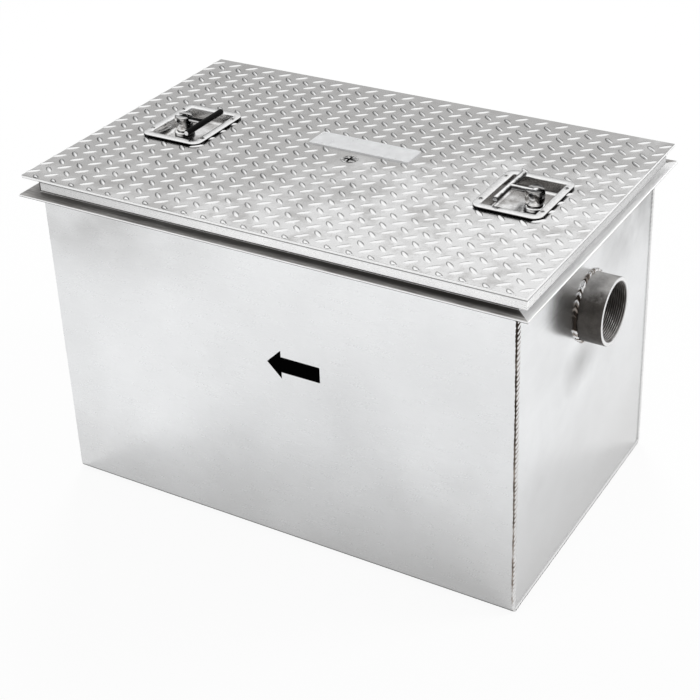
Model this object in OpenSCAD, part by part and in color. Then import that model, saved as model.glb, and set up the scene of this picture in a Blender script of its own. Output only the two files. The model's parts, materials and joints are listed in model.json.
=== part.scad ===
// Steel grease trap: a welded tank with a pipe coupling at each end, a gasketed tread-plate cover
// held by two folding T-handle latches, and two lift-out baffles inside.
// Millimetres. +X points to the inlet end, +Z up. The origin is the centre of the underside.

/* [Tank] */
// Outside length of the tank, along the flow
tank_l = 780; // [700:1:1200]
// Outside width of the tank
tank_w = 485; // [400:1:800]
// Height of the walls' top edge above the floor
tank_h = 525.4; // [500:0.1:800]
// Thickness of the wall, floor and baffle sheet
wall_t = 3.4; // [2:0.1:6]
// Inside radius of the folds along the two bottom edges
fold_r = 6; // [5.5:0.5:20]
// How far the end plates sit inside the ends of the folded sheet
end_inset = 1; // [0.5:0.5:6]
// Radius of the weld beads round the end plates
bead_r = 4.5; // [2:0.5:5]

/* [Rim] */
// Leg of the rim angle
angle_leg = 25.4; // [20:0.1:40]
// Thickness of the rim angle
angle_t = 3.2; // [2:0.1:6]
// Thickness of the rim gasket under the cover
gasket_t = 3.2; // [2:0.1:8]
// Width of the rim gasket
gasket_w = 14; // [10:0.5:25]

/* [Couplings] */
// Outside diameter of the pipe couplings
coupling_od = 101.6; // [98:0.1:140]
// Bore of the pipe couplings
coupling_id = 84.6; // [60:0.1:92]
// Length of the pipe couplings, from the end plate out
coupling_len = 40; // [25:0.5:80]
// Height of the coupling axis above the floor
coupling_z = 383; // [200:1:390]
// Leg of the fillet weld round each coupling
coupling_weld = 8; // [3:0.5:12]
// How much wider than the coupling's bore the hole in the end plate is, across
pipe_hole_extra = 2; // [1:0.5:6]

/* [Cover] */
// How far the cover laps past the end plates' side of the tank
cover_lap_x = 21; // [16:0.1:30]
// How far the cover laps past the front and rear walls
cover_lap_y = 18.7; // [16:0.1:30]
// Thickness of the cover plate below its lugs
cover_t = 4.8; // [3:0.1:8]
// Height of the bars along the cover's edges
edge_bar_h = 13.7; // [6:0.1:16]
// Thickness of the edge bars
edge_bar_t = 6.4; // [3:0.1:8]
// Length left open at the two corners where the edge bars stop short
edge_bar_open = 34; // [20:1:60]
// Length of the smooth label plate
label_l = 172; // [80:1:220]
// Width of the label plate
label_w = 44; // [20:1:60]
// Distance of the label plate's middle behind the cover's middle
label_y = 46; // [40:1:80]
// Height of the label plate above the lugs
label_lip = 0.3; // [0.1:0.1:2]
// Diameter of the screw in the middle of the cover
screw_d = 12; // [8:0.5:16]
// Diameter of that screw's sunk head
screw_head_d = 26; // [22:0.5:30]
// Depth of that screw's sunk head
screw_head_h = 4; // [2:0.1:4.5]
// Width of the slots in that screw's head
screw_slot = 4; // [2:0.5:6]
// Diameter of the boss under the cover that holds that screw
boss_d = 26; // [20:0.5:40]
// Height of that boss
boss_h = 14; // [8:0.5:20]

/* [Tread pattern] */
// Distance between lugs of one direction, along the cover
lug_pitch_x = 33.6; // [28:0.1:50]
// Distance between lugs of one direction, across the cover
lug_pitch_y = 30.4; // [26:0.1:50]
// Length of a lug
lug_l = 20; // [12:0.5:24]
// Width of a lug
lug_w = 6.6; // [4:0.1:9]
// Height of a lug
lug_h = 1.8; // [1:0.1:2.5]
// Angle of the lugs to the cover's length
lug_angle = 42; // [30:1:60]

/* [Latches] */
// Distance from the end of the tank to the middle of a latch
latch_end = 105; // [95:1:140]
// Length of the latch pan's opening, along the cover
pan_l = 82; // [76:1:110]
// Width of the latch pan's opening, across the cover
pan_w = 107; // [100:1:140]
// Depth of the latch pan
pan_depth = 20; // [16:0.5:26]
// Thickness of the latch pan's sheet
pan_t = 1.9; // [1:0.1:2.5]
// Width of the flange round the latch pan
pan_flange = 12.5; // [10:0.5:20]
// Outside corner radius of the latch pan's flange
pan_corner = 14; // [8:0.5:20]
// Thickness of the gasket under the latch pan's flange
latch_gasket_t = 2.6; // [2.6:0.1:5]
// How far that gasket stays inside the flange's edge
latch_gasket_inset = 7; // [4:0.5:8]
// Radius of the rivets in the latch pan's flange
rivet_r = 2; // [1.5:0.1:3]
// Height of the rivet heads
rivet_head = 0.8; // [0.4:0.1:0.9]
// Distance of the spindle outward from the middle of the pan
spindle_out = 17; // [10:0.5:20]
// Radius of the spindle's shaft
shaft_r = 6.35; // [5:0.05:9]
// Radius of the spindle's clevis head
head_r = 13; // [12:0.5:15]
// Height of the round foot under the clevis head
foot_h = 5; // [3:0.5:8]
// How much wider than the head the round foot is, all round
foot_rim = 3; // [1:0.5:5]
// Gap between the T-handle's grip and the edge of the pan's opening beside it
grip_gap = 14; // [6:0.5:20]
// Gap between each end of the grip and the edge of the pan's opening
grip_end_gap = 5.5; // [1:0.5:12]
// Diameter of the T-handle's round grip
grip_d = 9.5; // [8:0.5:12]
// Diameter of the T-handle's round shank
shank_d = 8; // [6:0.5:9]
// Width of the knuckle that turns on the pivot pin
knuckle_w = 10; // [9:0.5:12]
// Wall of that knuckle round the pin
knuckle_wall = 3; // [2:0.5:4]
// Radius of the handle's pivot pin
pin_r = 2.5; // [1.5:0.1:3]
// Length of the cam arm, from the spindle's axis
cam_reach = 58; // [52:0.5:66]
// Width of the cam arm
cam_w = 20; // [16:0.5:26]
// Thickness of the cam arm
cam_t = 5; // [3:0.5:8]
// Depth of the cam arm's top below the walls' top edge
cam_drop = 30.4; // [26:0.1:50]
// Height of the nut under the cam arm
nut_h = 8; // [5:0.5:12]
// Width of the nut across its corners
nut_d = 22; // [20:0.5:30]

/* [Keepers] */
// How far the cam reaches under its keeper
keeper_lap = 13; // [6:0.5:20]
// Width of a keeper across the tank
keeper_w = 60; // [30:1:100]
// Thickness of a keeper
keeper_t = 5; // [3:0.5:8]
// Height of a keeper's leg on the end plate
keeper_leg = 40; // [25:1:60]

/* [Baffles] */
// Distance of each baffle from the spindle on its side, towards the tank's middle
baffle_off = 52; // [40:1:140]
// Depth of the baffles' top edge below the walls' top edge
baffle_drop = 60; // [55:1:120]
// Height of the inlet baffle's lower edge above the tank's floor sheet
inlet_gap = 40; // [15:1:120]
// Height of the outlet baffle's lower edge above the tank's floor sheet
outlet_gap = 75; // [15:1:120]
// Thickness of the channels that guide the baffles
guide_t = 2.5; // [1.5:0.1:4]
// Depth of the guide channels
guide_depth = 18; // [10:0.5:30]
// Number of slots in the inlet baffle
slot_count = 7; // [3:1:9]
// Width of a slot in the inlet baffle
slot_w = 22; // [10:1:30]
// Height of a slot in the inlet baffle
slot_h = 150; // [60:1:200]
// Distance between the slots
slot_pitch = 55; // [35:1:60]
// Height of the slots' lower end above the baffle's lower edge
slot_foot = 40; // [20:1:80]
// Radius of the rod of the baffles' lifting loops
loop_r = 4; // [3:0.5:6]
// Width of a lifting loop between its legs' axes
loop_w = 100; // [60:1:160]
// Height of a lifting loop's axis above the baffle
loop_h = 26; // [20:0.5:30]
// Radius of a lifting loop's bends
loop_bend = 14; // [8:0.5:16]

/* [Clearances] */
// Running clearance of the spindle in the pan and of the handle on its pin
run_clear = 0.05; // [0.02:0.01:0.09]
// Clearance between faces that turn past each other
turn_clear = 0.3; // [0.2:0.05:0.6]
// Height of the folded handle above the latch pan's flange
fold_clear = 1.5; // [1.2:0.1:3]
// Clearance of the latch pan in the cover
pan_clear = 1; // [0.5:0.1:3]
// Clearance between cam and keeper
keeper_clear = 0.8; // [0.4:0.1:3]
// Clearance of a baffle in its guides
guide_clear = 1; // [0.5:0.1:2]
// Clearance of rivets and screw in the cover's holes, all round
hole_clear = 0.3; // [0.2:0.05:1]

/* [Hidden] */
$fn = 48;
// How deep a raised shape is rooted in the plate below it
root = 0.4;
// Length by which a cutting shape runs past the face that it cuts
past = 1;

// Tank levels and inside faces
fold_out_r = fold_r + wall_t;
inner_w = tank_w - 2 * wall_t;
end_face = tank_l / 2 - end_inset;
end_inner = end_face - wall_t;
flange_z = tank_h - angle_leg;

// Cover levels
plate_z = tank_h + gasket_t;
plate_top = plate_z + cover_t;
cover_l = tank_l + 2 * cover_lap_x;
cover_w = tank_w + 2 * cover_lap_y;

// Latch levels
pan_seat = plate_top + latch_gasket_t;
pan_top = pan_seat + pan_t;
pan_floor = pan_top - pan_depth;
pan_under = pan_floor - pan_t;
handle_under = pan_top + fold_clear;
pin_z = handle_under + grip_d / 2;
knuckle_r = pin_r + knuckle_wall;
slot_gap = knuckle_w + 2 * turn_clear;
slot_floor = pin_z - knuckle_r - turn_clear;
head_top = pin_z + knuckle_r + turn_clear;
cam_top = tank_h - cam_drop;
cam_under = cam_top - cam_t;

// Latch places, outlined as a length and a width
latch_x = tank_l / 2 - latch_end;
spindle_x = latch_x + spindle_out;
handle_reach = pan_l / 2 + spindle_out - grip_gap - grip_d / 2;
grip_l = pan_w - 2 * grip_end_gap;
pan_inner_corner = max(pan_corner - pan_flange, pan_t) + pan_t;
flange_size = [pan_l + 2 * pan_flange, pan_w + 2 * pan_flange];
cut_grow = pan_t + pan_clear;
cut_size = [pan_l + 2 * cut_grow, pan_w + 2 * cut_grow];
gasket_size = flange_size - 2 * [latch_gasket_inset, latch_gasket_inset];
gasket_corner = max(pan_corner - latch_gasket_inset, 1);
rivet_places = [for (i = [-1, 1]) for (j = [-1, 1])
    [latch_x + i * (pan_l + pan_flange) / 2, j * (pan_w / 2 - pan_flange)]];

// Keeper and baffle places
keeper_tip = spindle_x + cam_reach - keeper_lap;
keeper_z = cam_top + keeper_clear;
baffle_x = spindle_x - baffle_off;
baffle_top = tank_h - baffle_drop;
baffle_w = inner_w - 2 * guide_t - 2 * guide_clear;
guide_slot = wall_t + 2 * guide_clear;

// Lug places: two crossing directions, the second half a pitch on
lug_nx = floor(cover_l / lug_pitch_x / 2) + 1;
lug_ny = floor(cover_w / lug_pitch_y / 2) + 1;
lug_reach = (lug_l * cos(lug_angle) + lug_w * sin(lug_angle)) / 2;
lug_rise = (lug_l * sin(lug_angle) + lug_w * cos(lug_angle)) / 2;
lug_all = [for (half = [0, 0.5]) for (i = [-lug_nx:lug_nx]) for (j = [-lug_ny:lug_ny])
    [(i + half) * lug_pitch_x, (j + half) * lug_pitch_y, half == 0 ? lug_angle : -lug_angle]];
lug_places = [for (p = lug_all) if (on_cover(p) && off_latches(p) && off_label(p) && off_screw(p)) p];

// A lug is kept where it lies wholly on the cover and clear of what is fixed there
function on_cover(p) = abs(p[0]) + lug_reach < cover_l / 2 && abs(p[1]) + lug_rise < cover_w / 2;
function outside(p, x, y, size) = abs(p[0] - x) > size[0] / 2 + lug_reach
    || abs(p[1] - y) > size[1] / 2 + lug_rise;
function off_latches(p) = outside([abs(p[0]), p[1]], latch_x, 0, gasket_size);
function off_label(p) = outside(p, 0, label_y, [label_l, label_w]);
function off_screw(p) = outside(p, 0, 0, [screw_head_d, screw_head_d]);

// Everything is drawn for the inlet end; the outlet end is its mirror image
module at_end(end) {
    if (end == "inlet") children();
    else mirror([1, 0, 0]) children();
}

// A rectangle centred on the origin, with round corners
module round_rect(size, r) {
    square([size[0] - 2 * r, size[1]], center = true);
    square([size[0], size[1] - 2 * r], center = true);
    for (i = [-1, 1]) for (j = [-1, 1])
        translate([i * (size[0] / 2 - r), j * (size[1] / 2 - r)]) circle(r);
}

// The section of a trough: straight sides, flat bottom, round lower corners
module trough(w, h, r) {
    translate([-w / 2, r]) square([w, h - r]);
    translate([-w / 2 + r, 0]) square([w - 2 * r, r]);
    for (i = [-1, 1]) translate([i * (w / 2 - r), r]) circle(r);
}

// Stands a section drawn across the tank upright, running the given length along +X
module along_x(length) {
    rotate([90, 0, 90]) linear_extrude(length) children();
}

// Front wall, floor and rear wall: one sheet folded twice
module body_wrap() {
    color("gainsboro") translate([-tank_l / 2, 0, 0]) along_x(tank_l) difference() {
        trough(tank_w, tank_h, fold_out_r);
        translate([0, wall_t]) trough(inner_w, tank_h, fold_r);
    }
}

// End wall, cut to the inside of the folded sheet, with the pipe hole
module end_plate(end) {
    color("gainsboro") at_end(end) difference() {
        translate([end_inner, 0, wall_t]) along_x(wall_t) trough(inner_w, tank_h - wall_t, fold_r);
        translate([end_inner - past, 0, coupling_z]) rotate([0, 90, 0])
            cylinder(d = coupling_id + pipe_hole_extra, h = wall_t + 2 * past);
    }
}

// A quarter of a round bead: the part of a circle that fills an inside corner
module bead_section() {
    intersection() {
        circle(bead_r);
        square(bead_r);
    }
}

// Weld bead round three sides of an end plate, in the corner that the folded sheet makes with it
module end_weld(end) {
    color("silver") at_end(end) translate([end_face, 0, wall_t]) {
        for (s = [0, 1]) mirror([0, s, 0]) {
            translate([0, -inner_w / 2, fold_r]) linear_extrude(flange_z - wall_t - fold_r) bead_section();
            translate([0, -inner_w / 2 + fold_r, fold_r]) rotate([0, 90, 0]) rotate([0, 0, -90])
                rotate_extrude(angle = 90) intersection() {
                    translate([fold_r, 0]) circle(bead_r);
                    translate([fold_r - bead_r, 0]) square(bead_r);
                }
        }
        translate([0, inner_w / 2 - fold_r, 0]) rotate([90, 0, 0])
            linear_extrude(inner_w - 2 * fold_r) bead_section();
    }
}

// One mitred side of the rim angle: a flat leg outward and a leg up the wall
module rim_angle(wall_half, side_half) {
    color("darkgray") translate([0, 0, flange_z]) {
        linear_extrude(angle_t) mitred_strip(wall_half, side_half, angle_leg);
        linear_extrude(angle_leg) mitred_strip(wall_half, side_half, angle_t);
    }
}

// Strip of the given depth outside a wall, cut at 45 degrees at both ends; the wall faces -Y
module mitred_strip(wall_half, side_half, depth) {
    polygon([[-side_half, -wall_half], [side_half, -wall_half],
        [side_half + depth, -wall_half - depth], [-side_half - depth, -wall_half - depth]]);
}

// Flat ring of rubber on the rim, which the cover presses on
module rim_gasket() {
    color("#2a2a2c") translate([0, 0, tank_h]) linear_extrude(gasket_t) difference() {
        square([tank_l + 2 * angle_t, tank_w + 2 * angle_t], center = true);
        square([tank_l + 2 * angle_t - 2 * gasket_w, tank_w + 2 * angle_t - 2 * gasket_w], center = true);
    }
}

// Pipe coupling, standing on the end plate's outer face
module coupling(end) {
    color("dimgray") at_end(end) translate([end_face, 0, coupling_z]) rotate([0, 90, 0]) difference() {
        cylinder(d = coupling_od, h = coupling_len);
        translate([0, 0, -past]) cylinder(d = coupling_id, h = coupling_len + 2 * past);
    }
}

// Fillet weld round the coupling's foot
module coupling_fillet(end) {
    color("silver") at_end(end) translate([end_face, 0, coupling_z]) rotate([0, 90, 0])
        rotate_extrude() translate([coupling_od / 2, 0])
            polygon([[0, 0], [coupling_weld, 0], [0, coupling_weld]]);
}

// Angle bracket on the inside of an end plate; the cam turns in under its ledge
module keeper(end) {
    color("darkgray") at_end(end) translate([0, keeper_w / 2, 0]) rotate([90, 0, 0])
        linear_extrude(keeper_w) {
            translate([keeper_tip, keeper_z]) square([end_inner - keeper_tip, keeper_t]);
            translate([end_inner - keeper_t, keeper_z - keeper_leg + keeper_t])
                square([keeper_t, keeper_leg]);
        }
}

// Lift-out baffle plate; the inlet one has slots that spread the flow
module baffle(end, gap, slotted) {
    bottom = wall_t + gap;
    color("gainsboro") at_end(end) difference() {
        translate([baffle_x - wall_t / 2, -baffle_w / 2, bottom])
            cube([wall_t, baffle_w, baffle_top - bottom]);
        if (slotted) for (k = [0:slot_count - 1])
            translate([baffle_x, (k - (slot_count - 1) / 2) * slot_pitch, bottom + slot_foot])
                baffle_slot();
    }
}

// Upright slot with round ends, cut through a baffle
module baffle_slot() {
    translate([-wall_t / 2 - past, 0, 0]) along_x(wall_t + 2 * past) {
        translate([-slot_w / 2, slot_w / 2]) square([slot_w, slot_h - slot_w]);
        for (z = [slot_w / 2, slot_h - slot_w / 2]) translate([0, z]) circle(slot_w / 2);
    }
}

// Channel on a long wall that a baffle slides down, with a stop at its foot
module guide(end, gap, side) {
    bottom = wall_t + gap;
    color("darkgray") at_end(end) mirror([0, side == "front" ? 0 : 1, 0])
        translate([baffle_x, -inner_w / 2, bottom]) {
            linear_extrude(baffle_top - bottom) difference() {
                translate([-guide_slot / 2 - guide_t, 0]) square([guide_slot + 2 * guide_t, guide_depth]);
                translate([-guide_slot / 2, guide_t]) square([guide_slot, guide_depth]);
            }
            translate([-guide_slot / 2 - guide_t, 0, -guide_t])
                cube([guide_slot + 2 * guide_t, guide_depth, guide_t]);
        }
}

// Bent rod on a baffle's top edge, to lift it by
module baffle_loop(end) {
    color("silver") at_end(end) translate([baffle_x, 0, baffle_top]) {
        for (s = [0, 1]) mirror([0, s, 0]) translate([0, loop_w / 2, 0]) {
            cylinder(r = loop_r, h = loop_h - loop_bend);
            translate([0, -loop_bend, loop_h - loop_bend]) rotate([0, -90, 0])
                rotate_extrude(angle = 90) translate([loop_bend, 0]) circle(loop_r);
        }
        translate([0, loop_w / 2 - loop_bend, loop_h]) rotate([90, 0, 0])
            cylinder(r = loop_r, h = loop_w - 2 * loop_bend);
    }
}

// One lug of the tread pattern: a lens-shaped foot that rises to a short ridge
module lug(angle) {
    ridge = lug_l / 4;
    rotate([0, 0, angle]) hull() polyhedron(
        points = [[-lug_l / 2, 0, -root], [0, -lug_w / 2, -root], [lug_l / 2, 0, -root],
            [0, lug_w / 2, -root], [-ridge, 0, lug_h], [ridge, 0, lug_h]],
        faces = [[0, 1, 2, 3], [0, 4, 1], [1, 4, 5], [1, 5, 2], [2, 5, 3], [3, 5, 4], [3, 4, 0]]);
}

// Tread plate with its lugs, the two latch openings and the holes for rivets and screw
module cover_plate() {
    color("silver") difference() {
        union() {
            translate([-cover_l / 2, -cover_w / 2, plate_z]) cube([cover_l, cover_w, cover_t]);
            for (p = lug_places) translate([p[0], p[1], plate_top]) lug(p[2]);
        }
        for (s = [0, 1]) mirror([s, 0, 0]) {
            translate([latch_x, 0, plate_z - past]) linear_extrude(cover_t + lug_h + 2 * past)
                round_rect(cut_size, pan_inner_corner + pan_clear, $fn = 32);
            for (p = rivet_places) translate([p[0], p[1], plate_z - past])
                cylinder(r = rivet_r + hole_clear, h = cover_t + lug_h + 2 * past, $fn = 16);
        }
        translate([0, 0, plate_z - past])
            cylinder(r = screw_d / 2 + hole_clear, h = cover_t + past, $fn = 24);
        translate([0, 0, plate_top - screw_head_h]) sunk_head(2 * hole_clear, $fn = 32);
    }
}

// Flat bar under one edge of the cover, from corner start to corner end along +X, facing -Y
module edge_bar(start, length) {
    color("whitesmoke") translate([start, 0, plate_z - edge_bar_h]) cube([length, edge_bar_t, edge_bar_h]);
}

module edge_bar_front() {
    translate([0, -cover_w / 2, 0]) edge_bar(edge_bar_open - cover_l / 2, cover_l - edge_bar_open);
}

module edge_bar_rear() {
    rotate([0, 0, 180]) edge_bar_front();
}

module edge_bar_inlet() {
    translate([cover_l / 2, 0, 0]) rotate([0, 0, 90])
        edge_bar(edge_bar_t - cover_w / 2, cover_w - edge_bar_t - edge_bar_open);
}

module edge_bar_outlet() {
    rotate([0, 0, 180]) edge_bar_inlet();
}

// Smooth plate that stands in the tread pattern, left bare
module label_plate() {
    color("whitesmoke") translate([0, label_y, plate_top]) linear_extrude(lug_h + label_lip)
        round_rect([label_l, label_w], 2);
}

// Cone of the centre screw's head, grown by the given amount all round
module sunk_head(grow) {
    cylinder(r1 = screw_d / 2 + grow, r2 = screw_head_d / 2 + grow, h = screw_head_h);
    translate([0, 0, screw_head_h]) cylinder(r = screw_head_d / 2 + grow, h = grow);
}

// Sunk screw with a cross slot in the middle of the cover, level with the plate
module centre_screw() {
    color("dimgray") difference() {
        union() {
            translate([0, 0, plate_z - boss_h]) cylinder(d = screw_d, h = boss_h + cover_t - screw_head_h);
            translate([0, 0, plate_top - screw_head_h])
                cylinder(d1 = screw_d, d2 = screw_head_d, h = screw_head_h);
        }
        for (a = [0, 90]) rotate([0, 0, a])
            translate([-screw_head_d / 3, -screw_slot / 2, plate_top - screw_head_h / 2])
                cube([screw_head_d * 2 / 3, screw_slot, screw_head_h]);
    }
}

// Boss welded under the cover, which the centre screw is screwed into
module centre_boss() {
    color("darkgray") translate([0, 0, plate_z - boss_h]) difference() {
        cylinder(d = boss_d, h = boss_h);
        translate([0, 0, -past]) cylinder(d = screw_d, h = boss_h + 2 * past);
    }
}

// Pressed latch pan: a flange on the cover and a sunk tray with a hole for the spindle
module latch_pan(end) {
    color("lightgray") at_end(end) difference() {
        union() {
            translate([latch_x, 0, pan_seat]) linear_extrude(pan_t) round_rect(flange_size, pan_corner);
            translate([latch_x, 0, pan_under]) linear_extrude(pan_top - pan_under)
                round_rect([pan_l + 2 * pan_t, pan_w + 2 * pan_t], pan_inner_corner);
        }
        translate([latch_x, 0, pan_floor]) linear_extrude(pan_depth + past)
            round_rect([pan_l, pan_w], pan_inner_corner - pan_t);
        translate([spindle_x, 0, pan_under - past]) cylinder(r = shaft_r + run_clear, h = pan_t + 2 * past);
        for (p = rivet_places) translate([p[0], p[1], pan_seat - past])
            cylinder(r = rivet_r, h = pan_t + 2 * past);
    }
}

// Rubber ring between the latch pan's flange and the cover, notched round the rivets
module latch_gasket(end) {
    color("#1d1d1f") at_end(end) translate([latch_x, 0, plate_top]) linear_extrude(latch_gasket_t)
        difference() {
            round_rect(gasket_size, gasket_corner);
            round_rect(cut_size, pan_inner_corner + pan_clear);
            for (p = rivet_places) translate([p[0] - latch_x, p[1]]) circle(rivet_r + hole_clear);
        }
}

// Rivets that hold both latch pans to the cover
module latch_rivets() {
    color("silver") for (end = ["inlet", "outlet"]) at_end(end)
        for (p = rivet_places) translate([p[0], p[1], plate_z]) {
            cylinder(r = rivet_r, h = pan_top - plate_z);
            translate([0, 0, pan_top - plate_z]) cylinder(r1 = 2 * rivet_r, r2 = rivet_r, h = rivet_head);
        }
}

// Spindle: foot, clevis head and shaft, turned from one bar
module spindle(end) {
    color("lightgray") at_end(end) translate([spindle_x, 0, 0]) difference() {
        union() {
            translate([0, 0, pan_floor + turn_clear]) cylinder(r = head_r + foot_rim, h = foot_h);
            translate([0, 0, pan_floor + turn_clear])
                cylinder(r = head_r, h = head_top - pan_floor - turn_clear);
            translate([0, 0, cam_under - nut_h])
                cylinder(r = shaft_r, h = pan_floor - cam_under + nut_h + foot_h);
        }
        translate([-head_r - past, -slot_gap / 2, slot_floor])
            cube([2 * (head_r + past), slot_gap, head_top - slot_floor + past]);
        translate([0, head_r + past, pin_z]) rotate([90, 0, 0])
            cylinder(r = pin_r, h = 2 * (head_r + past));
    }
}

// Pivot pin of the T-handle, through both ears of the clevis
module pivot_pin(end) {
    pin_half = sqrt(head_r * head_r - pin_r * pin_r);
    color("silver") at_end(end) translate([spindle_x, pin_half, pin_z]) rotate([90, 0, 0])
        cylinder(r = pin_r, h = 2 * pin_half);
}

// Folding T-handle: knuckle on the pin, round shank and round grip across its end
module handle(end) {
    color("gainsboro") at_end(end) translate([spindle_x, 0, pin_z]) difference() {
        union() {
            translate([0, knuckle_w / 2, 0]) rotate([90, 0, 0]) cylinder(r = knuckle_r, h = knuckle_w);
            translate([-handle_reach, 0, 0]) rotate([0, 90, 0]) cylinder(d = shank_d, h = handle_reach);
            translate([-handle_reach, grip_l / 2, 0]) rotate([90, 0, 0]) cylinder(d = grip_d, h = grip_l);
        }
        translate([0, knuckle_w, 0]) rotate([90, 0, 0]) cylinder(r = pin_r + run_clear, h = 2 * knuckle_w);
    }
}

// Cam arm on the spindle; at rest it lies across the tank, clear of the keeper
module cam(end) {
    color("darkgray") at_end(end) translate([spindle_x, 0, cam_under]) linear_extrude(cam_t) difference() {
        union() {
            circle(cam_w / 2);
            translate([-cam_w / 2, cam_w / 2 - cam_reach]) square([cam_w, cam_reach - cam_w / 2]);
            translate([0, cam_w / 2 - cam_reach]) circle(cam_w / 2);
        }
        circle(shaft_r);
    }
}

// Six-sided nut under the cam arm
module cam_nut(end) {
    color("silver") at_end(end) translate([spindle_x, 0, cam_under - nut_h]) difference() {
        cylinder(d = nut_d, h = nut_h, $fn = 6);
        translate([0, 0, -past]) cylinder(r = shaft_r, h = nut_h + 2 * past);
    }
}

body_wrap();
end_plate("inlet");  // inlet_end_plate
end_plate("outlet");  // outlet_end_plate
end_weld("inlet");  // inlet_end_weld
end_weld("outlet");  // outlet_end_weld
rim_angle(tank_w / 2, tank_l / 2);  // rim_angle_front
rotate([0, 0, 180]) rim_angle(tank_w / 2, tank_l / 2);  // rim_angle_rear
rotate([0, 0, 90]) rim_angle(tank_l / 2, tank_w / 2);  // rim_angle_inlet
rotate([0, 0, -90]) rim_angle(tank_l / 2, tank_w / 2);  // rim_angle_outlet
rim_gasket();
coupling("inlet");  // inlet_coupling
coupling("outlet");  // outlet_coupling
coupling_fillet("inlet");  // inlet_coupling_weld
coupling_fillet("outlet");  // outlet_coupling_weld
keeper("inlet");  // inlet_keeper
keeper("outlet");  // outlet_keeper
baffle("inlet", inlet_gap, true);  // inlet_baffle
baffle("outlet", outlet_gap, false);  // outlet_baffle
guide("inlet", inlet_gap, "front");  // inlet_guide_front
guide("inlet", inlet_gap, "rear");  // inlet_guide_rear
guide("outlet", outlet_gap, "front");  // outlet_guide_front
guide("outlet", outlet_gap, "rear");  // outlet_guide_rear
baffle_loop("inlet");  // inlet_baffle_loop
baffle_loop("outlet");  // outlet_baffle_loop
cover_plate();
edge_bar_front();
edge_bar_rear();
edge_bar_inlet();
edge_bar_outlet();
label_plate();
centre_screw();
centre_boss();
latch_rivets();
latch_pan("inlet");  // inlet_latch_pan
latch_pan("outlet");  // outlet_latch_pan
latch_gasket("inlet");  // inlet_latch_gasket
latch_gasket("outlet");  // outlet_latch_gasket
spindle("inlet");  // inlet_spindle
spindle("outlet");  // outlet_spindle
pivot_pin("inlet");  // inlet_pin
pivot_pin("outlet");  // outlet_pin
cam("inlet");  // inlet_cam
cam("outlet");  // outlet_cam
cam_nut("inlet");  // inlet_cam_nut
cam_nut("outlet");  // outlet_cam_nut
handle("inlet");  // inlet_handle
handle("outlet");  // outlet_handle
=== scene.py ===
# %% [markdown]
# # A steel grease trap
# This lesson dresses a packed CAD model. The tank, rim, cover and latches arrive as plain solids in one
# frame, in metres, with +X to the inlet end and +Z up. Each step gives one piece its true surface: rolled
# lugs, rippled welds, cut threads, pressed sheet. Nothing is moved or resized. Sizes of pieces are written in
# millimetres, as on a shop drawing, and turned into metres only when a mesh is made. Finishes work in metres.

# %% Load the frame
import json
import math

import bpy
import numpy as np
from mathutils import Matrix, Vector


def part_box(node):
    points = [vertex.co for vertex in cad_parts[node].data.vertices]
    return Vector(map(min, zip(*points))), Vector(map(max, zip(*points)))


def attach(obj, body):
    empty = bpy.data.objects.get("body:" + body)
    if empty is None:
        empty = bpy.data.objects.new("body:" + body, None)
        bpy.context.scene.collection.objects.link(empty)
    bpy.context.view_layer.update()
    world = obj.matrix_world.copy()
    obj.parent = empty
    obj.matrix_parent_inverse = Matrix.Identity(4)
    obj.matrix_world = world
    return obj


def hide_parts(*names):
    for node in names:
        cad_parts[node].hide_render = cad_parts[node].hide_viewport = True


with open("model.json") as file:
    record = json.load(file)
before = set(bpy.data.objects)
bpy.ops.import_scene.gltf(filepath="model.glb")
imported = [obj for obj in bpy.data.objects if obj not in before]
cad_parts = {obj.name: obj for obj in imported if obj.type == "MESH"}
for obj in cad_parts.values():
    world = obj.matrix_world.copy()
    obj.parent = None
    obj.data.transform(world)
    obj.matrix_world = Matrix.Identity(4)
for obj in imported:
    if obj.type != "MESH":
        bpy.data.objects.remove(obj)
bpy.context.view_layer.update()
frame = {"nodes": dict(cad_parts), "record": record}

MM = 0.001
cad = frame["nodes"]


def corners(node):
    """Lowest and highest corner of a CAD node, in millimetres."""
    low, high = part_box(node)
    return np.array(low) / MM, np.array(high) / MM


# %% [markdown]
# ## Camera
# The photograph was taken from the front right, about 29 degrees above the horizon, with a long lens. The
# camera is given by the point it looks at, two angles, a small roll and a distance. A small lens shift
# keeps the upright edges from closing in too much towards the bottom, as a view camera does.

# %% Camera
AIM = np.array([0.0045, 0.0080, 0.3250])
AZIMUTH, ELEVATION, ROLL = math.radians(31.15), math.radians(28.9), math.radians(-2.18)
DISTANCE, LENS = 2.47, 81.7
SHIFT = (-0.0135, -0.1000)


def camera_axes(azimuth, elevation, roll):
    """Right, up and back directions of a camera. Azimuth 0 looks along +Y, elevation looks down, and roll
    turns right and up about the line of sight."""
    back = np.array([math.sin(azimuth) * math.cos(elevation), -math.cos(azimuth) * math.cos(elevation),
                     math.sin(elevation)])
    right = np.cross([0, 0, 1], back)
    right /= np.linalg.norm(right)
    up = np.cross(back, right)
    c, s = math.cos(roll), math.sin(roll)
    return c * right + s * up, c * up - s * right, back


def set_up(name, data, *columns):
    """A camera or lamp whose matrix has these columns: its x, y and z axes and its place."""
    made = bpy.data.objects.new(name, data)
    bpy.context.scene.collection.objects.link(made)
    matrix = np.eye(4)
    matrix[:3] = np.stack(columns, axis=1)
    made.matrix_world = Matrix(matrix.tolist())
    return made


right, up, back = camera_axes(AZIMUTH, ELEVATION, ROLL)
camera = set_up("camera", bpy.data.cameras.new("camera"), right, up, back, AIM + DISTANCE * back)
camera.data.lens = LENS
camera.data.shift_x, camera.data.shift_y = SHIFT
bpy.context.scene.camera = camera
print("camera at", np.round(AIM + DISTANCE * back, 3).tolist())

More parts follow.
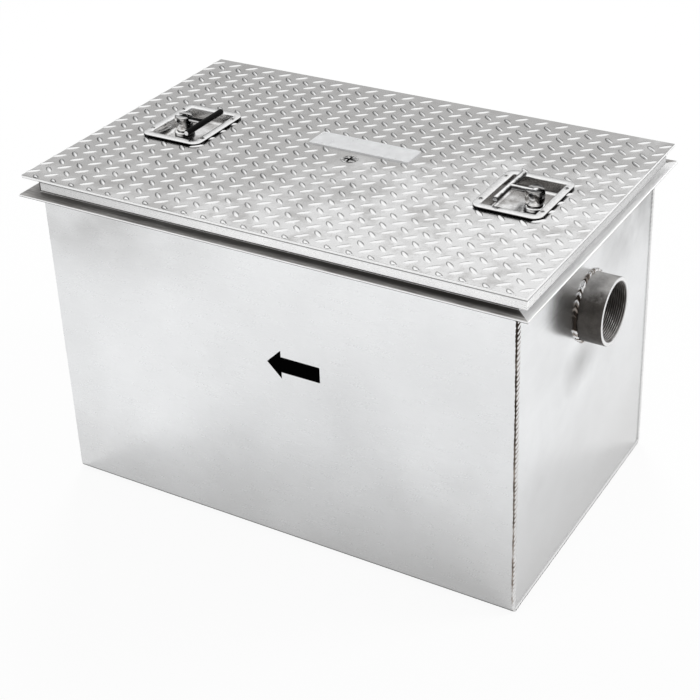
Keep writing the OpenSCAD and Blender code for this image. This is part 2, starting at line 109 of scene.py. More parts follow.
# %% [markdown]
# ## Recipes of nodes
# The studio and every finish are trees of shader nodes. Built one node at a time they fill pages, so two
# small classes keep each recipe to a handful of lines. A finish starts from one colour, and each step lays a
# coat over it, as a painter would. Its patterns use Object coordinates, so they stay on their piece when the
# cover lifts or a latch turns.

# %% Shading
class Shading:
    """A node tree, with one short method for each step that recipes are made of."""

    def __init__(self, tree):
        self.tree = tree

    def fill(self, made, inputs):
        """Fills a node's inputs by number or name: a socket is linked, a value is set. Gives its outputs."""
        for key, value in inputs.items():
            if isinstance(value, bpy.types.NodeSocket):
                self.tree.links.new(value, made.inputs[key])
            else:
                made.inputs[key].default_value = value
        return made.outputs

    def node(self, kind, inputs=(), **settings):
        """A new node with settings of its own, such as operation, and its inputs in order or by name."""
        made = self.tree.nodes.new("ShaderNode" + kind)
        for name, value in settings.items():
            setattr(made, name, value)
        return self.fill(made, inputs if isinstance(inputs, dict) else dict(enumerate(inputs)))

    def calc(self, operation, *values, **settings):
        """One sum on numbers, such as ADD, MULTIPLY or ABSOLUTE."""
        return self.node("Math", values, operation=operation, **settings)[0]

    def vector(self, operation, *values, out="Vector"):
        """One sum on vectors, such as SUBTRACT or DOT_PRODUCT, whose result may be the plain Value."""
        return self.node("VectorMath", values, operation=operation)[out]

    def line(self, value, low, high, to_low=0.0, to_high=1.0):
        """A straight line that takes low..high to to_low..to_high, held at its ends."""
        return self.node("MapRange", (value, low, high, to_low, to_high))[0]

    def ramp(self, value, low, high):
        """A smooth step from 0 to 1 as the value goes from low to high."""
        return self.node("MapRange", (value, low, high), interpolation_type="SMOOTHSTEP")[0]

    def any_ray(self, *kinds):
        """1 where the ray is one of the named kinds: their sum, held below 1."""
        path = self.node("LightPath")
        total = path[kinds[0]]
        for kind in kinds[1:]:
            total = self.calc("ADD", total, path[kind], use_clamp=True)
        return total


print("steps of any recipe:", [name for name in vars(Shading) if name[0] != "_"])

# %% Finish
class Finish(Shading):
    """A finish in the making: a material, its shader and the colour that each coat adds to."""

    def __init__(self, name, colour, metal=1.0, specular=0.5):
        self.material = bpy.data.materials.new(name)
        self.material.use_nodes = True
        super().__init__(self.material.node_tree)
        self.shader = self.tree.nodes["Principled BSDF"]
        self.fill(self.shader, {"Metallic": metal, "Specular IOR Level": specular})
        self.colour = colour

    def space(self):
        """Object coordinates, in metres."""
        return self.node("TexCoord")["Object"]

    def place(self):
        """Object coordinates as three numbers, X, Y and Z."""
        return self.node("SeparateXYZ", [self.space()])

    def facing(self):
        """What a face looks towards: its normal as three numbers, X, Y and Z."""
        return self.node("SeparateXYZ", [self.node("NewGeometry")["Normal"]])

    def mark(self, name):
        """A number that the piece keeps at each of its points."""
        return self.node("Attribute", attribute_name=name)["Fac"]

    def noise(self, scale, detail=3.0, rough=0.5, stretch=(1, 1, 1)):
        """Noise from 0 to 1: scale is its rate in cycles a metre, and stretch above 1 along an axis packs it
        closer there."""
        turned = self.node("Mapping", {"Vector": self.space(), "Scale": stretch})[0]
        return self.node("TexNoise", {"Vector": turned, "Scale": scale, "Detail": detail,
                                      "Roughness": rough})["Fac"]

    def vary(self, noise, low, high):
        """Noise mostly lies between 0.3 and 0.7: this spreads that middle over low..high."""
        return self.line(noise, 0.3, 0.7, low, high)

    def mix(self, share, first, second):
        """Colour that goes from first to second as share goes from 0 to 1."""
        return self.node("Mix", {0: share, 6: first, 7: second}, data_type="RGBA")[2]

    def coat(self, tone, share, *limits):
        """Lays a tone over the colour where share is 1. With limits, share is first put through a line."""
        self.colour = self.mix(self.line(share, *limits) if limits else share, self.colour, tone)

    def matt(self, share):
        """Takes the mirror off the metal where share is 1, so that a painted shadow along the floor stays dark."""
        self.fill(self.shader, {"Metallic": self.line(share, 0, 1, 1, 0), "Specular IOR Level": 0.0})

    def done(self, gloss, height, depth):
        """Gives the shader its colour, its roughness and a bump: height 1 stands for depth, in metres."""
        bump = self.node("Bump", {"Height": height, "Distance": depth, "Strength": 1.0})[0]
        self.fill(self.shader, {"Base Color": self.colour, "Roughness": gloss, "Normal": bump})
        print(f"{self.material.name}: {len(self.tree.nodes)} nodes")
        return self.material


def grey(level, warm=0.0):
    """A grey of that linear level, a little warmer or cooler."""
    return (level * (1 + warm), level, level * (1 - warm), 1.0)


print("steps of a finish:", [name for name in vars(Finish) if name[0] != "_"])

# %% [markdown]
# ## Studio
# Bare steel shows little but what it reflects, so the studio is most of its look. To the camera the world is
# plain white. Reflections see a white soft box overhead, a second one that reaches down to the horizon on
# the right, and a dark room beyond them: that gives each lug its bright crown and its dark left side. As a
# light the world is dimmer. Three lamps light the paper and throw the shadows forward, and a fourth one
# rakes under the cover's edge on the inlet side. Steel doesn't mirror the lamps, so no hot spots appear.

# %% Studio
WHITE = (1, 1, 1, 1)
WORLD_LIGHT, DARK_ROOM, LOW_BOX = 0.55, 0.06, 0.66
TOP_BOX_RISE, TOP_BOX_BRIGHT = (0.12, 0.36), (0.40, 0.48)
SIDE_BOX_ASIDE, SIDE_BOX_RISE = (0.2, 0.7), (-0.05, 0.1)


def white_studio():
    """World of strength 1 to camera rays. Glossy and transmission rays see the larger of two soft boxes above
    DARK_ROOM: one that grows with height in two smooth steps, to LOW_BOX and to 1, and one towards the right.
    All other rays see WORLD_LIGHT."""
    world = bpy.data.worlds.new("studio")
    bpy.context.scene.world = world
    world.use_nodes = True
    studio = Shading(world.node_tree)
    direction = studio.node("TexCoord")["Generated"]
    rise = studio.node("SeparateXYZ", [direction])["Z"]
    aside = studio.vector("DOT_PRODUCT", direction, right.tolist(), out="Value")
    side_box = studio.calc("MULTIPLY", studio.ramp(aside, *SIDE_BOX_ASIDE), studio.ramp(rise, *SIDE_BOX_RISE))
    bright = studio.line(studio.ramp(rise, *TOP_BOX_BRIGHT), 0, 1, LOW_BOX, 1)
    top_box = studio.calc("MULTIPLY", bright, studio.ramp(rise, *TOP_BOX_RISE))
    seen = studio.line(studio.calc("MAXIMUM", top_box, side_box), 0, 1, DARK_ROOM, 1)
    mirror = studio.any_ray("Is Glossy Ray", "Is Transmission Ray")
    level = studio.node("Mix", {0: mirror, 2: WORLD_LIGHT, 3: seen})[0]
    level = studio.node("Mix", {0: studio.any_ray("Is Camera Ray"), 2: level, 3: 1.0})[0]
    studio.fill(studio.tree.nodes["Background"], {"Color": WHITE, "Strength": level})


def lamp(name, place, aim, size, watts):
    """A square area lamp whose -Z axis points from its place to its aim, unseen by camera and mirrors."""
    data = bpy.data.lights.new(name, "AREA")
    data.energy, data.size = watts, size
    z = np.array(place, float) - np.array(aim, float)
    z /= np.linalg.norm(z)
    x = np.cross([0, 0, 1], z)
    x /= np.linalg.norm(x)
    made = set_up(name, data, x, np.cross(z, x), z, place)
    made.visible_glossy = made.visible_camera = False


bpy.context.scene.view_settings.view_transform = "Standard"
white_studio()
lamp("key", (-1.5, 2.3, 2.6), (0, 0, 0.4), 1.3, 62)
lamp("rake", (2.4, 1.3, 1.7), (0.3, 0, 0.4), 0.9, 26)
lamp("fill", (-0.6, -3.0, 1.6), (0, 0, 0.3), 1.8, 28)
lamp("strip", (0.72, 0.0, 0.66), (0.41, 0, 0.51), 0.3, 0.9)
print("studio:", len(bpy.data.lights), "lamps")

# %% [markdown]
# ## Floor
# A real photographer would lay a roll of white paper. A flat disc does the same here. Its paper is a plain
# diffuse white, mixed towards a bright white for camera rays and a little for reflections, so that the
# shadow stays but is faint.

# %% Floor
SEEN_WHITE, MIRRORED_WHITE = 0.92, 0.35
FLOOR_RADIUS, FLOOR_Z = 6.0, -0.0006


def circle(n):
    """n points of the unit circle: cosine and sine of n equal steps of a full turn."""
    t = np.linspace(0, 2 * np.pi, n, endpoint=False)
    return np.stack([np.cos(t), np.sin(t)], axis=1)


def paper_floor(n):
    """A flat face of n points on a circle, whose paper is mixed with white light for camera and glossy rays."""
    mesh = bpy.data.meshes.new("floor")
    mesh.from_pydata(np.c_[circle(n) * FLOOR_RADIUS, np.full(n, FLOOR_Z)], [], [list(range(n))])
    floor = bpy.data.objects.new("floor", mesh)
    bpy.context.scene.collection.objects.link(floor)
    paper = Finish("white_paper", None, metal=0.0, specular=0.0)
    paper.fill(paper.shader, {"Base Color": grey(0.86), "Roughness": 1.0})
    eye = paper.calc("MULTIPLY", paper.any_ray("Is Camera Ray"), SEEN_WHITE)
    share = paper.calc("MULTIPLY_ADD", paper.any_ray("Is Glossy Ray"), MIRRORED_WHITE, eye)
    white = paper.node("Emission", {"Color": WHITE, "Strength": 1.0})[0]
    both = paper.node("MixShader", [share, paper.shader.outputs[0], white])[0]
    paper.fill(paper.tree.nodes["Material Output"], {"Surface": both})
    mesh.materials.append(paper.material)


paper_floor(96)
print("floor:", 2 * FLOOR_RADIUS, "m across")

# %% [markdown]
# ## Finishes
# ### Sheet steel of the tank
# The tank is bare stainless sheet with a dull mill finish. Such steel is not one grey: broad clouds change its
# tone by a few percent, a grain of fine lines runs along the sheet, and the surface waves by hundredths of a
# millimetre, enough to make a reflection wander. Low down the wall is painted darker, as shade where it mirrors
# the shadowed floor, a thin dark line along the floor is painted shadow, and patches high under the rim are
# darker. A picture could be wrapped round the tank, but noise taken at each place has no seams and any
# sharpness.

# %% Sheet and bar steel
# Painted shade: the shadow line along the floor, the shade under the rim's flange and on the lugs' left flanks.
PAINTED_SHADE = grey(0.05)
# Painted shade low on the wall begins and is full at these heights, rises along x by the slant and wanders
# with the clouds.
LOW_SHADE_HEIGHT, LOW_SHADE_SLANT, LOW_SHADE_RAGGED = (0.24, 0.03), -0.16, 0.10
# Darker patches begin and are full at these heights, and at these places along the front wall or an end wall.
PATCH_HEIGHT, PATCH_AT = (0.34, 0.50), {"X": (0.0, -0.36), "Y": (-0.04, 0.16)}
# The painted shadow line along the floor shows only outside the sheet's fold, this far from the tank's middle
# along y.
FOLD_OUTSIDE = (0.2365, 0.2385)


def rolled_steel(name, light, dark, gloss, cloud, grain, wave, stretch, metal=1.0, low_shade_and_patches=None, patch_axis="X",
                 seam=None, fade=None, foot=None, stain=None):
    """Clouds mix a dark and a light grey, grain changes tone and gloss a little, and the clouds give a faint
    wave. Of two dark tones, the first is painted shade low down, more towards the inlet, where the wall mirrors
    the shadowed floor; the second darkens patches high under the rim towards one end, along the patch axis.
    Between the two foot heights a dark line along the floor ends: a painted shadow, on steel made matt.
    Above the height of a seam the tone is dark. A fade is an axis, two places on it and the tone it goes to.
    A stain is a place, its reach along each axis and its tone."""
    finish = Finish(name, dark, metal)
    place = finish.place()
    clouds = finish.noise(cloud, 4.0, 0.55)
    lines = finish.noise(grain, 2.0, 0.6, stretch)
    finish.coat(light, clouds, 0.3, 0.7)
    finish.coat(dark, lines, 0.35, 0.65, 0, 0.12)
    if low_shade_and_patches:
        # Painted shade low on the wall, where it mirrors the shadowed floor, more towards the inlet.
        slant = finish.calc("MULTIPLY_ADD", place["X"], LOW_SHADE_SLANT, place["Z"])
        finish.coat(low_shade_and_patches[0], finish.calc("MULTIPLY_ADD", clouds, LOW_SHADE_RAGGED, slant), *LOW_SHADE_HEIGHT)
        # Darker patches high under the rim, towards one end.
        patches = finish.line(finish.noise(9, 3.0, 0.6, (0.6, 1, 1)), 0.24, 0.62)
        high_patches = finish.calc("MULTIPLY", finish.ramp(place["Z"], *PATCH_HEIGHT), patches)
        near = finish.ramp(place[patch_axis], *PATCH_AT[patch_axis])
        finish.coat(low_shade_and_patches[1], finish.calc("MULTIPLY", high_patches, near))
    if foot:
        # Painted shadow: a dark, matt line along the floor, outside the fold.
        outside = finish.line(finish.calc("ABSOLUTE", place["Y"]), *FOLD_OUTSIDE)
        floor_shadow = finish.calc("MULTIPLY", finish.line(place["Z"], *foot, 1, 0), outside)
        finish.matt(floor_shadow)
        finish.coat(PAINTED_SHADE, floor_shadow)
    if stain:
        centre, reach, tone = stain
        away = finish.vector("DIVIDE", finish.vector("SUBTRACT", finish.space(), centre), reach)
        away = finish.calc("MULTIPLY_ADD", clouds, 1.2, finish.vector("LENGTH", away, out="Value"))
        finish.coat(tone, away, 0.5, 1.5, 0.8, 0)
    if fade:
        axis, start, end, tone = fade
        finish.coat(tone, finish.ramp(place[axis], start, end))
    if seam:
        finish.coat(grey(0.35), place["Z"], seam - 0.0004, seam)
    return finish.done(finish.vary(lines, gloss - 0.02, gloss + 0.03), clouds, wave)


TANK_GRAIN = dict(cloud=7, grain=140, wave=0.0005, stretch=(0.25, 0.25, 3))
sheet_steel = rolled_steel("sheet_steel", grey(0.96, -0.01), grey(0.88, -0.01), 0.25, **TANK_GRAIN,
                           low_shade_and_patches=(grey(0.64), grey(0.58)), foot=(0.0046, 0.0072))
end_steel = rolled_steel("end_steel", grey(0.88, -0.01), grey(0.76, -0.01), 0.22, **TANK_GRAIN,
                         low_shade_and_patches=(grey(0.68), grey(0.30)), patch_axis="Y",
                         stain=((0.389, -0.02, 0.30), (0.1, 0.07, 0.055), grey(0.40)))
SEAM = (corners("edge_bar_front")[1][2] - 0.6) * MM
edge_steel, side_edge = [rolled_steel(name, grey(0.98), grey(0.90), 0.28, 30, 220, 0.00002, (0.5, 0.5, 3), 0.55,
                                      seam=SEAM, fade=fade)
                         for name, fade in (("edge_steel", ("X", 0.05, -0.42, grey(0.62))),
                                            ("side_edge", ("Y", -0.36, -0.06, grey(0.48))))]

# %% [markdown]
# ### Latch steel
# Latches are pressed and turned from bright bar. Their light and shade are painted: crowns that face up are
# painted bright as a highlight, flanks and the bottom of the pan dark as shade. That could be painted on by
# hand. Here what a face looks towards, and how deep it lies, decides its tone, which stays right when a shape
# is changed.

# %% Latch steel
# Black of painted shade on the latches' flanks.
SHADE_BLACK = grey(0.02)
PAN_LOW, PAN_HIGH = corners("inlet_latch_pan")
PAN_SHEET = 1.9
PAN_FLOOR, PAN_TOP = PAN_LOW[2] + PAN_SHEET, PAN_HIGH[2]
PAN_X = (PAN_LOW[0] + PAN_HIGH[0]) / 2 * MM
GROOVE = (PAN_FLOOR + 8.6) * MM


def latch_finish(name, crown, flank, face, low=0.55, high=0.88, gloss=0.14, foot=None, cap=None, metal=1.0,
                 specular=0.5):
    """Faces that look up take the crown tone, a painted highlight, and all others the flank tone, a painted shade,
    with noise at the border; faces that look straight along y, the ends of grip and pin, take a tone of their
    own. Where a foot height is given, flanks below it and those to the right are painted black as shade, and
    crowns above it take the cap tone, painted in place of the highlight."""
    finish = Finish(name, flank, metal, specular)
    facing = finish.facing()
    noise = finish.noise(120, 3.0, 0.6)
    # Painted light: faces that look up are lit, the rest lie in shade.
    lit_share = finish.calc("ADD", finish.vary(noise, -0.12, 0.12), facing["Z"])
    if foot:
        # Painted shade: black below the foot height and on flanks that face right.
        low_shade = finish.line(finish.place()["Z"], foot - 0.0006, foot + 0.0006, 1, 0)
        finish.coat(SHADE_BLACK, facing["X"], 0.52, 0.80)
        finish.coat(SHADE_BLACK, low_shade)
        crown = finish.mix(low_shade, cap, crown)
    finish.coat(crown, lit_share, low, high)
    finish.coat(face, finish.calc("ABSOLUTE", facing["Y"]), 0.90, 0.98)
    return finish.done(finish.vary(noise, gloss - 0.04, gloss + 0.05), noise, 0.00003)


# Each of these finishes paints light and shade by facing: lit crowns, shaded flanks.
latch_steel = latch_finish("latch_steel", grey(0.95), grey(0.16, 0.04), grey(0.25))
grey_latch = latch_finish("grey_latch", grey(0.96), grey(0.88, 0.02), grey(0.85), 0.35, 0.80, foot=GROOVE,
                          cap=grey(0.10))
rod_steel = latch_finish("rod_steel", grey(0.97), grey(0.03, 0.04), grey(0.40), 0.66, 0.95, 0.12)
bright_latch = latch_finish("bright_latch", grey(0.96), grey(0.90, 0.02), grey(0.90), 0.35, 0.80, foot=GROOVE,
                            cap=grey(0.45))
pin_steel = latch_finish("pin_steel", grey(0.9), grey(0.12), grey(0.05))
# The outlet handle: the same rod painted black all over, as the dark reflection on the shaded left side.
dark_handle = latch_finish("dark_handle", grey(0.004), grey(0.002), grey(0.90), gloss=0.3, metal=0.0,
                           specular=0.04)

# %% Pan steel
def pan_finish(name, deep, shallow, lit_from):
    """The floor is clouded light and dark, but painted bright, as lit, to the right of a given place along x. The
    flange is bright, and the pressed walls between are painted darker downwards as shade. The "edge" mark is the
    flange's lower edge, painted black as the gasket's edge and the shadow under the flange."""
    finish = Finish(name, grey(0.40, 0.03))
    facing, place = finish.facing(), finish.place()
    clouds, noise = finish.noise(34, 3.0, 0.6), finish.noise(220, 3.0, 0.6)
    top, floor = PAN_TOP * MM, PAN_FLOOR * MM
    finish.coat(grey(0.95), clouds, 0.36, 0.62)
    # Painted light: the floor brighter to the right of a given place.
    finish.coat(grey(0.97), place["X"], lit_from - 0.02, lit_from + 0.01, 0, 0.85)
    flange = finish.mix(finish.line(noise, 0.35, 0.65), grey(0.84), grey(0.98))
    finish.coat(flange, place["Z"], floor + 0.006, top - 0.004)
    # Painted shade: walls darker towards the bottom of the pan.
    wall = finish.mix(finish.line(place["Z"], floor, top - 0.002), deep, shallow)
    finish.coat(wall, facing["Z"], 0.75, 0.35)
    # Painted black: the gasket's edge and the shadow under the flange.
    finish.coat(grey(0.004), finish.mark("edge"))
    return finish.done(finish.vary(noise, 0.16, 0.28), noise, 0.00002)


pan_finishes = (pan_finish("inlet_pan_steel", grey(0.22, 0.04), grey(0.40, 0.03), PAN_X),
                pan_finish("outlet_pan_steel", grey(0.40, 0.03), grey(0.90), 0.0))

# %% [markdown]
# ### Rim steel
# The rim is plain angle, scratched on top, where the cover drags over it, in streaks along the angle. Its light
# and shade are painted: in light tones on the inlet side, which the light reaches, and in dark tones elsewhere,
# as shade under the cover. What faces up takes these tones, streaked along the angle; what faces sideways is
# painted bright as a highlight. So one finish does for the whole angle, and no face has to be picked out.

# %% Rim steel
RIM_FOOT = corners("rim_angle_front")[0][2] * MM
FLANGE_TOP = RIM_FOOT + 0.0032
# The inner half of a flange along y, painted dark as shadow under the cover's edge, and the run along x over
# which its share grows.
FLANGE_INNER, INNER_RUN, INNER_SHARE = (0.2625, 0.2545), (-0.40, 0.30), (0.35, 0.92)


def rim_finish(name, light, dark, leg, run):
    """Streaks along the run mix two tones on faces that look up, and the inner half of a flange along x is painted
    dark as shadow under the cover's edge, more towards the inlet. Elsewhere the edge is painted bright as a
    highlight. The underside and the foot of the edge are painted dark as shade, and above the flange the leg
    takes a tone of its own: painted shade, and painted light on the inlet side."""
    finish = Finish(name, dark, 0.35)
    facing, place = finish.facing(), finish.place()
    streaks = finish.noise(420, 3.0, 0.6, (0.05, 1, 1) if run == "x" else (1, 0.05, 1))
    finish.coat(light, streaks, 0.35, 0.65)
    finish.coat(dark, finish.noise(26, 4.0, 0.6), 0.35, 0.7, 0, 0.5)
    if run == "x":
        inner = finish.line(finish.calc("ABSOLUTE", place["Y"]), *FLANGE_INNER)
        share = finish.line(place["X"], *INNER_RUN, *INNER_SHARE)
        # Painted shadow under the cover's edge on the flange's inner half.
        finish.coat(grey(0.05, 0.08), finish.calc("MULTIPLY", inner, share))
    # Painted highlight on faces that look sideways.
    finish.coat(grey(0.98), facing["Z"], 0.9, 0.55)
    # Painted shade under the flange's edge.
    finish.coat(PAINTED_SHADE, place["Z"], RIM_FOOT + 0.0009, RIM_FOOT + 0.0012, 1, 0)
    # The leg above the flange: painted shade, and on the inlet side painted light.
    finish.coat(leg, place["Z"], FLANGE_TOP + 0.0004, FLANGE_TOP + 0.0010)
    return finish.done(finish.vary(streaks, 0.34, 0.5), streaks, 0.00003)


# Shaded and lit copies of one angle: the inlet side is painted in light, the other sides in shade.
rim_steel = rim_finish("rim_steel", grey(0.62, 0.02), grey(0.27, 0.04), grey(0.10, 0.05), "x")
rim_lit = rim_finish("rim_lit", grey(0.95), grey(0.78), grey(0.85), "y")

# %% [markdown]
# ### Tread steel
# Tread plate is grey where it lies low, and the crowns of its lugs are painted bright as a highlight. The
# height above the plate tells the two apart, so the highlight sits on the crowns of the lugs and nowhere else.
# The far left side of each lug is painted with a dark crescent as shade, and the plate is painted brighter
# towards the front, as a reflection of the soft box overhead.

# %% Tread steel
PLATE_LOW, PLATE_HIGH = corners("cover_plate")
LUG_H = 1.8
PLATE_TOP = PLATE_HIGH[2] - LUG_H
REARWARD = (-0.515, 0.857, 0.0)


def tread_finish():
    """The plate is clouded and specked, and painted brighter near the front as a reflection. A painted highlight
    grows with height over the lower half of a lug. Away from the front the lugs' left-flank mark paints their left
    flank dark as shade, and their "scale" mark paints sheltered tips dark as shade. The sheared edge is painted
    bright as a highlight, down to a dark seam over the edge bars."""
    finish = Finish("tread_steel", grey(0.59, 0.01))
    height = finish.place()["Z"]

    def above(level, low, high):
        """The two heights low and high over a level, in metres."""
        return (level + low) * MM, (level + high) * MM

    # Painted highlight on the crowns of the lugs, growing with height.
    crown_highlight = finish.line(height, *above(PLATE_TOP, 0.1, 0.9))
    specks = finish.noise(900, 2.0, 0.6)
    depth = finish.vector("DOT_PRODUCT", finish.space(), REARWARD, out="Value")
    # Painted reflection: the plate brighter towards the front.
    lit_depth = finish.calc("ADD", finish.vary(finish.noise(14, 5.0, 0.6), -0.17, 0.15), depth)
    front = finish.line(lit_depth, -0.23, -0.01, 1, 0)
    finish.coat(grey(0.91), front)
    finish.coat(grey(0.48, 0.02), finish.noise(24, 4.0, 0.65), 0.50, 0.68, 0, 0.65)
    finish.coat(grey(0.50), specks, 0.45, 0.75, 0, 0.4)
    finish.coat(grey(0.95), crown_highlight)
    # Painted shade on the left flank of lugs away from the front.
    finish.coat(PAINTED_SHADE, finish.calc("MULTIPLY", finish.line(front, 0, 0.8, 1, 0), finish.mark("dull")))
    # Painted shade: dark crescents on the lugs' sheltered tips.
    scale = finish.line(finish.mark("scale"), 0.2, 0.85, 0, 0.95)
    finish.coat(grey(0.14), finish.calc("MULTIPLY", scale, finish.line(front, 0, 0.7, 0.3, 1)))
    # Painted highlight on the sheared edge.
    finish.coat(grey(0.96), height, *above(PLATE_TOP, -0.9, -0.4), 1, 0)
    finish.coat(grey(0.30), height, *above(PLATE_LOW[2], 0.5, 0.9), 1, 0)
    gloss = finish.calc("SUBTRACT", finish.vary(specks, 0.20, 0.30), finish.line(crown_highlight, 0, 1, 0, 0.10))
    return finish.done(gloss, specks, 0.00004)


tread_steel = tread_finish()

# %% [markdown]
# ### Welds, couplings, rubber and paint
# A weld cools through straw and brown, so its colour runs from bright to brown in patches. The couplings
# are ordinary dark pipe fittings with the bluish brown scale of the forge still on them. Rubber is a soft
# black, and the arrow is a flat black paint. Rivets and the screw are worn bright, and their pits and recess
# are painted black as shade. Noise can't know where a groove or a crest lies, so the meshes keep that as marks
# and the finishes read them.

# %% Weld metal
# Heat tint of the welds; the black also paints the shadow along the floor and one stretch of a coupling bead.
BROWN_HEAT, BLACK_HEAT_AND_SHADOW = (0.36, 0.31, 0.27, 1), (0.035, 0.028, 0.023, 1)


def weld_finish():
    """Bright pools with brown to black in the grooves between them. The grooves come from the bead's own
    "groove" mark, and the heat tint grows towards the top of the tank and in patches. Along the floor runs a
    black line, a painted shadow. On the coupling beads the groove mark also holds one stretch of painted shade."""
    finish = Finish("weld_metal", grey(0.82))
    height = finish.place()["Z"]
    near_top = finish.calc("ADD", finish.line(height, 0.10, 0.46, 0.15, 0.55), finish.ramp(height, 0.45, 0.475))
    heat = finish.calc("ADD", finish.vary(finish.noise(30, 4.0, 0.65), -0.22, 0.22), near_top)
    groove = finish.line(finish.mark("groove"), 0.15, 0.85, 0, 2.2)
    depth = finish.calc("MULTIPLY", heat, groove, use_clamp=True)
    finish.coat(BROWN_HEAT, depth, 0.05, 0.45)
    # Painted shadow: a black, matt line along the floor.
    floor_shadow = finish.line(height, 0.0027, 0.0034, 1, 0)
    depth = finish.calc("MAXIMUM", depth, floor_shadow)
    finish.coat(BLACK_HEAT_AND_SHADOW, depth, 0.40, 0.90)
    finish.matt(floor_shadow)
    return finish.done(finish.line(depth, 0, 0.8, 0.24, 0.5), finish.noise(600, 2.0), 0.0001)


weld_metal = weld_finish()

# %% Coupling steel
DARK_SCALE, LIGHT_SCALE, SAND = (0.060, 0.054, 0.049, 1), (0.105, 0.096, 0.088, 1), (0.26, 0.24, 0.22, 1)


def coupling_finish():
    """Dark scale, painted grey on the upper side as a highlight from the light above, with a bright machined end
    face: the share of grey comes from how far the surface faces up, and the end face from how far it faces along
    the pipe. The crests of the thread, the "crest" mark, are painted bright as a highlight where they face up."""
    finish = Finish("coupling_steel", DARK_SCALE, 0.7)
    facing = finish.facing()
    scale, sand = finish.noise(60, 5.0, 0.65), finish.noise(700, 3.0, 0.6)
    finish.coat(LIGHT_SCALE, scale, 0.35, 0.7)
    # Painted highlight: the upper side grey.
    upper = finish.calc("ADD", finish.vary(scale, -0.10, 0.10), facing["Z"])
    finish.coat(grey(0.60, 0.02), upper, 0.65, 1.03)
    finish.coat(grey(0.80), finish.calc("ABSOLUTE", facing["X"]), 0.80, 0.95)
    finish.coat(SAND, sand, 0.62, 0.75, 0, 0.5)
    # Painted highlight on thread crests that face up.
    cut = finish.calc("MULTIPLY", finish.line(finish.mark("crest"), 0.6, 0.95), finish.line(facing["Z"], 0.22, 0.6))
    finish.coat(grey(0.75, 0.02), cut)
    return finish.done(finish.vary(sand, 0.34, 0.5), sand, 0.0002)


coupling_steel = coupling_finish()

# %% Plain and pitted finishes
SCREW_TOP = corners("centre_screw")[1][2] * MM


def plain_finish(name, metal, low, high, gloss, rate, depth, specular=0.5):
    """Two close tones mixed by noise, with a bump of the same noise."""
    finish = Finish(name, low, metal, specular)
    noise = finish.noise(rate, 4.0, 0.6)
    finish.coat(high, noise, 0.3, 0.7)
    return finish.done(finish.vary(noise, gloss - 0.06, gloss + 0.06), noise, depth)


def pitted_finish(name, pit):
    """Worn bright steel whose pits are painted black as shade, which a function of the finish tells apart."""
    finish = Finish(name, grey(0.10, 0.04))
    noise = finish.noise(260, 4.0, 0.6)
    finish.coat(grey(0.85), noise, 0.42, 0.60)
    # Painted shade: black in the pits.
    finish.coat(grey(0.006), pit(finish))
    return finish.done(finish.vary(noise, 0.22, 0.38), noise, 0.00006)


gasket_rubber = plain_finish("gasket_rubber", 0.0, grey(0.004), grey(0.010), 0.7, 260, 0.0002, 0.02)
label_metal = plain_finish("label_metal", 0.9, grey(0.82, -0.01), grey(0.94, -0.01), 0.32, 60, 0.00003)
arrow_paint = plain_finish("arrow_paint", 0.0, grey(0.0004), grey(0.0016), 0.75, 300, 0.00008, 0.0)
# Painted shade: black in the rivets' pits and in the screw's recess below its top.
rivet_steel = pitted_finish("rivet_steel", lambda finish: finish.mark("pit"))
screw_steel = pitted_finish("screw_steel", lambda finish: finish.line(finish.place()["Z"], SCREW_TOP - 0.0006,
                                                                      SCREW_TOP - 0.0002, 1, 0))

# %% [markdown]
# Every CAD node first takes the finish of its slot in the record. Nodes that keep their CAD shape, such as
# the tank's sheets, the baffles, the label and the gaskets, are done with this.

# %% Finishes on the CAD nodes
FINISHES = dict(sheet_steel=sheet_steel, rim_steel=rim_steel, tread_steel=tread_steel, edge_steel=edge_steel,
                weld_metal=weld_metal, coupling_steel=coupling_steel, latch_steel=latch_steel,
                gasket_rubber=gasket_rubber, label_metal=label_metal)
for part in frame["record"]["subparts"]:
    mesh = cad[part["node"]].data
    mesh.materials.clear()
    mesh.materials.append(end_steel if "end_plate" in part["node"] else FINISHES[part["material_slot"]])
print(len(FINISHES), "finishes on", len(cad), "nodes")

# %% [markdown]
# ## Skins
# Nearly every new piece is a skin: a grid of points, worked out as one array, with quads between
# neighbours. A skin through a row of outlines makes bars, beads, handles and pans, and a flat cap closes
# each end.

# %% Skin helpers
X, Y, Z = np.eye(3)


def quads(rows, cols, wrap_rows=False, wrap_cols=False):
    """Quads between neighbours in a grid of points numbered row by row; a wrapped side closes on itself."""
    i = np.arange(rows if wrap_rows else rows - 1)[:, None]
    j = np.arange(cols if wrap_cols else cols - 1)[None, :]
    i2, j2 = (i + 1) % rows, (j + 1) % cols
    made = np.broadcast_arrays(i * cols + j, i * cols + j2, i2 * cols + j2, i2 * cols + j)
    return np.stack(made, axis=-1).reshape(-1, 4)


def volume(points, faces):
    """Six times the space that the faces enclose about the points' middle: a sum of triple products."""
    p = points - points.mean(axis=0)
    total = 0.0
    for block in faces:
        a, b = p[block[:, 0]][:, None], p[block[:, 1:]]
        total += np.einsum("ijk,ijk->", np.broadcast_to(a, b[:, 1:].shape), np.cross(b[:, :-1], b[:, 1:]))
    return total


def skin(outlines, ring=False):
    """Skin through closed outlines, given as outlines[k, i] = point i of outline k. A ring joins the last
    outline to the first; otherwise a flat cap closes each end. Faces are turned to point outwards."""
    rows, cols = outlines.shape[:2]
    points = outlines.reshape(-1, 3)
    faces = [quads(rows, cols, wrap_rows=ring, wrap_cols=True)]
    if not ring:
        faces.append(np.stack([np.arange(cols)[::-1], np.arange(cols) + (rows - 1) * cols]))
    if volume(points, faces) < 0:
        faces = [block[:, ::-1] for block in faces]
    return points, faces


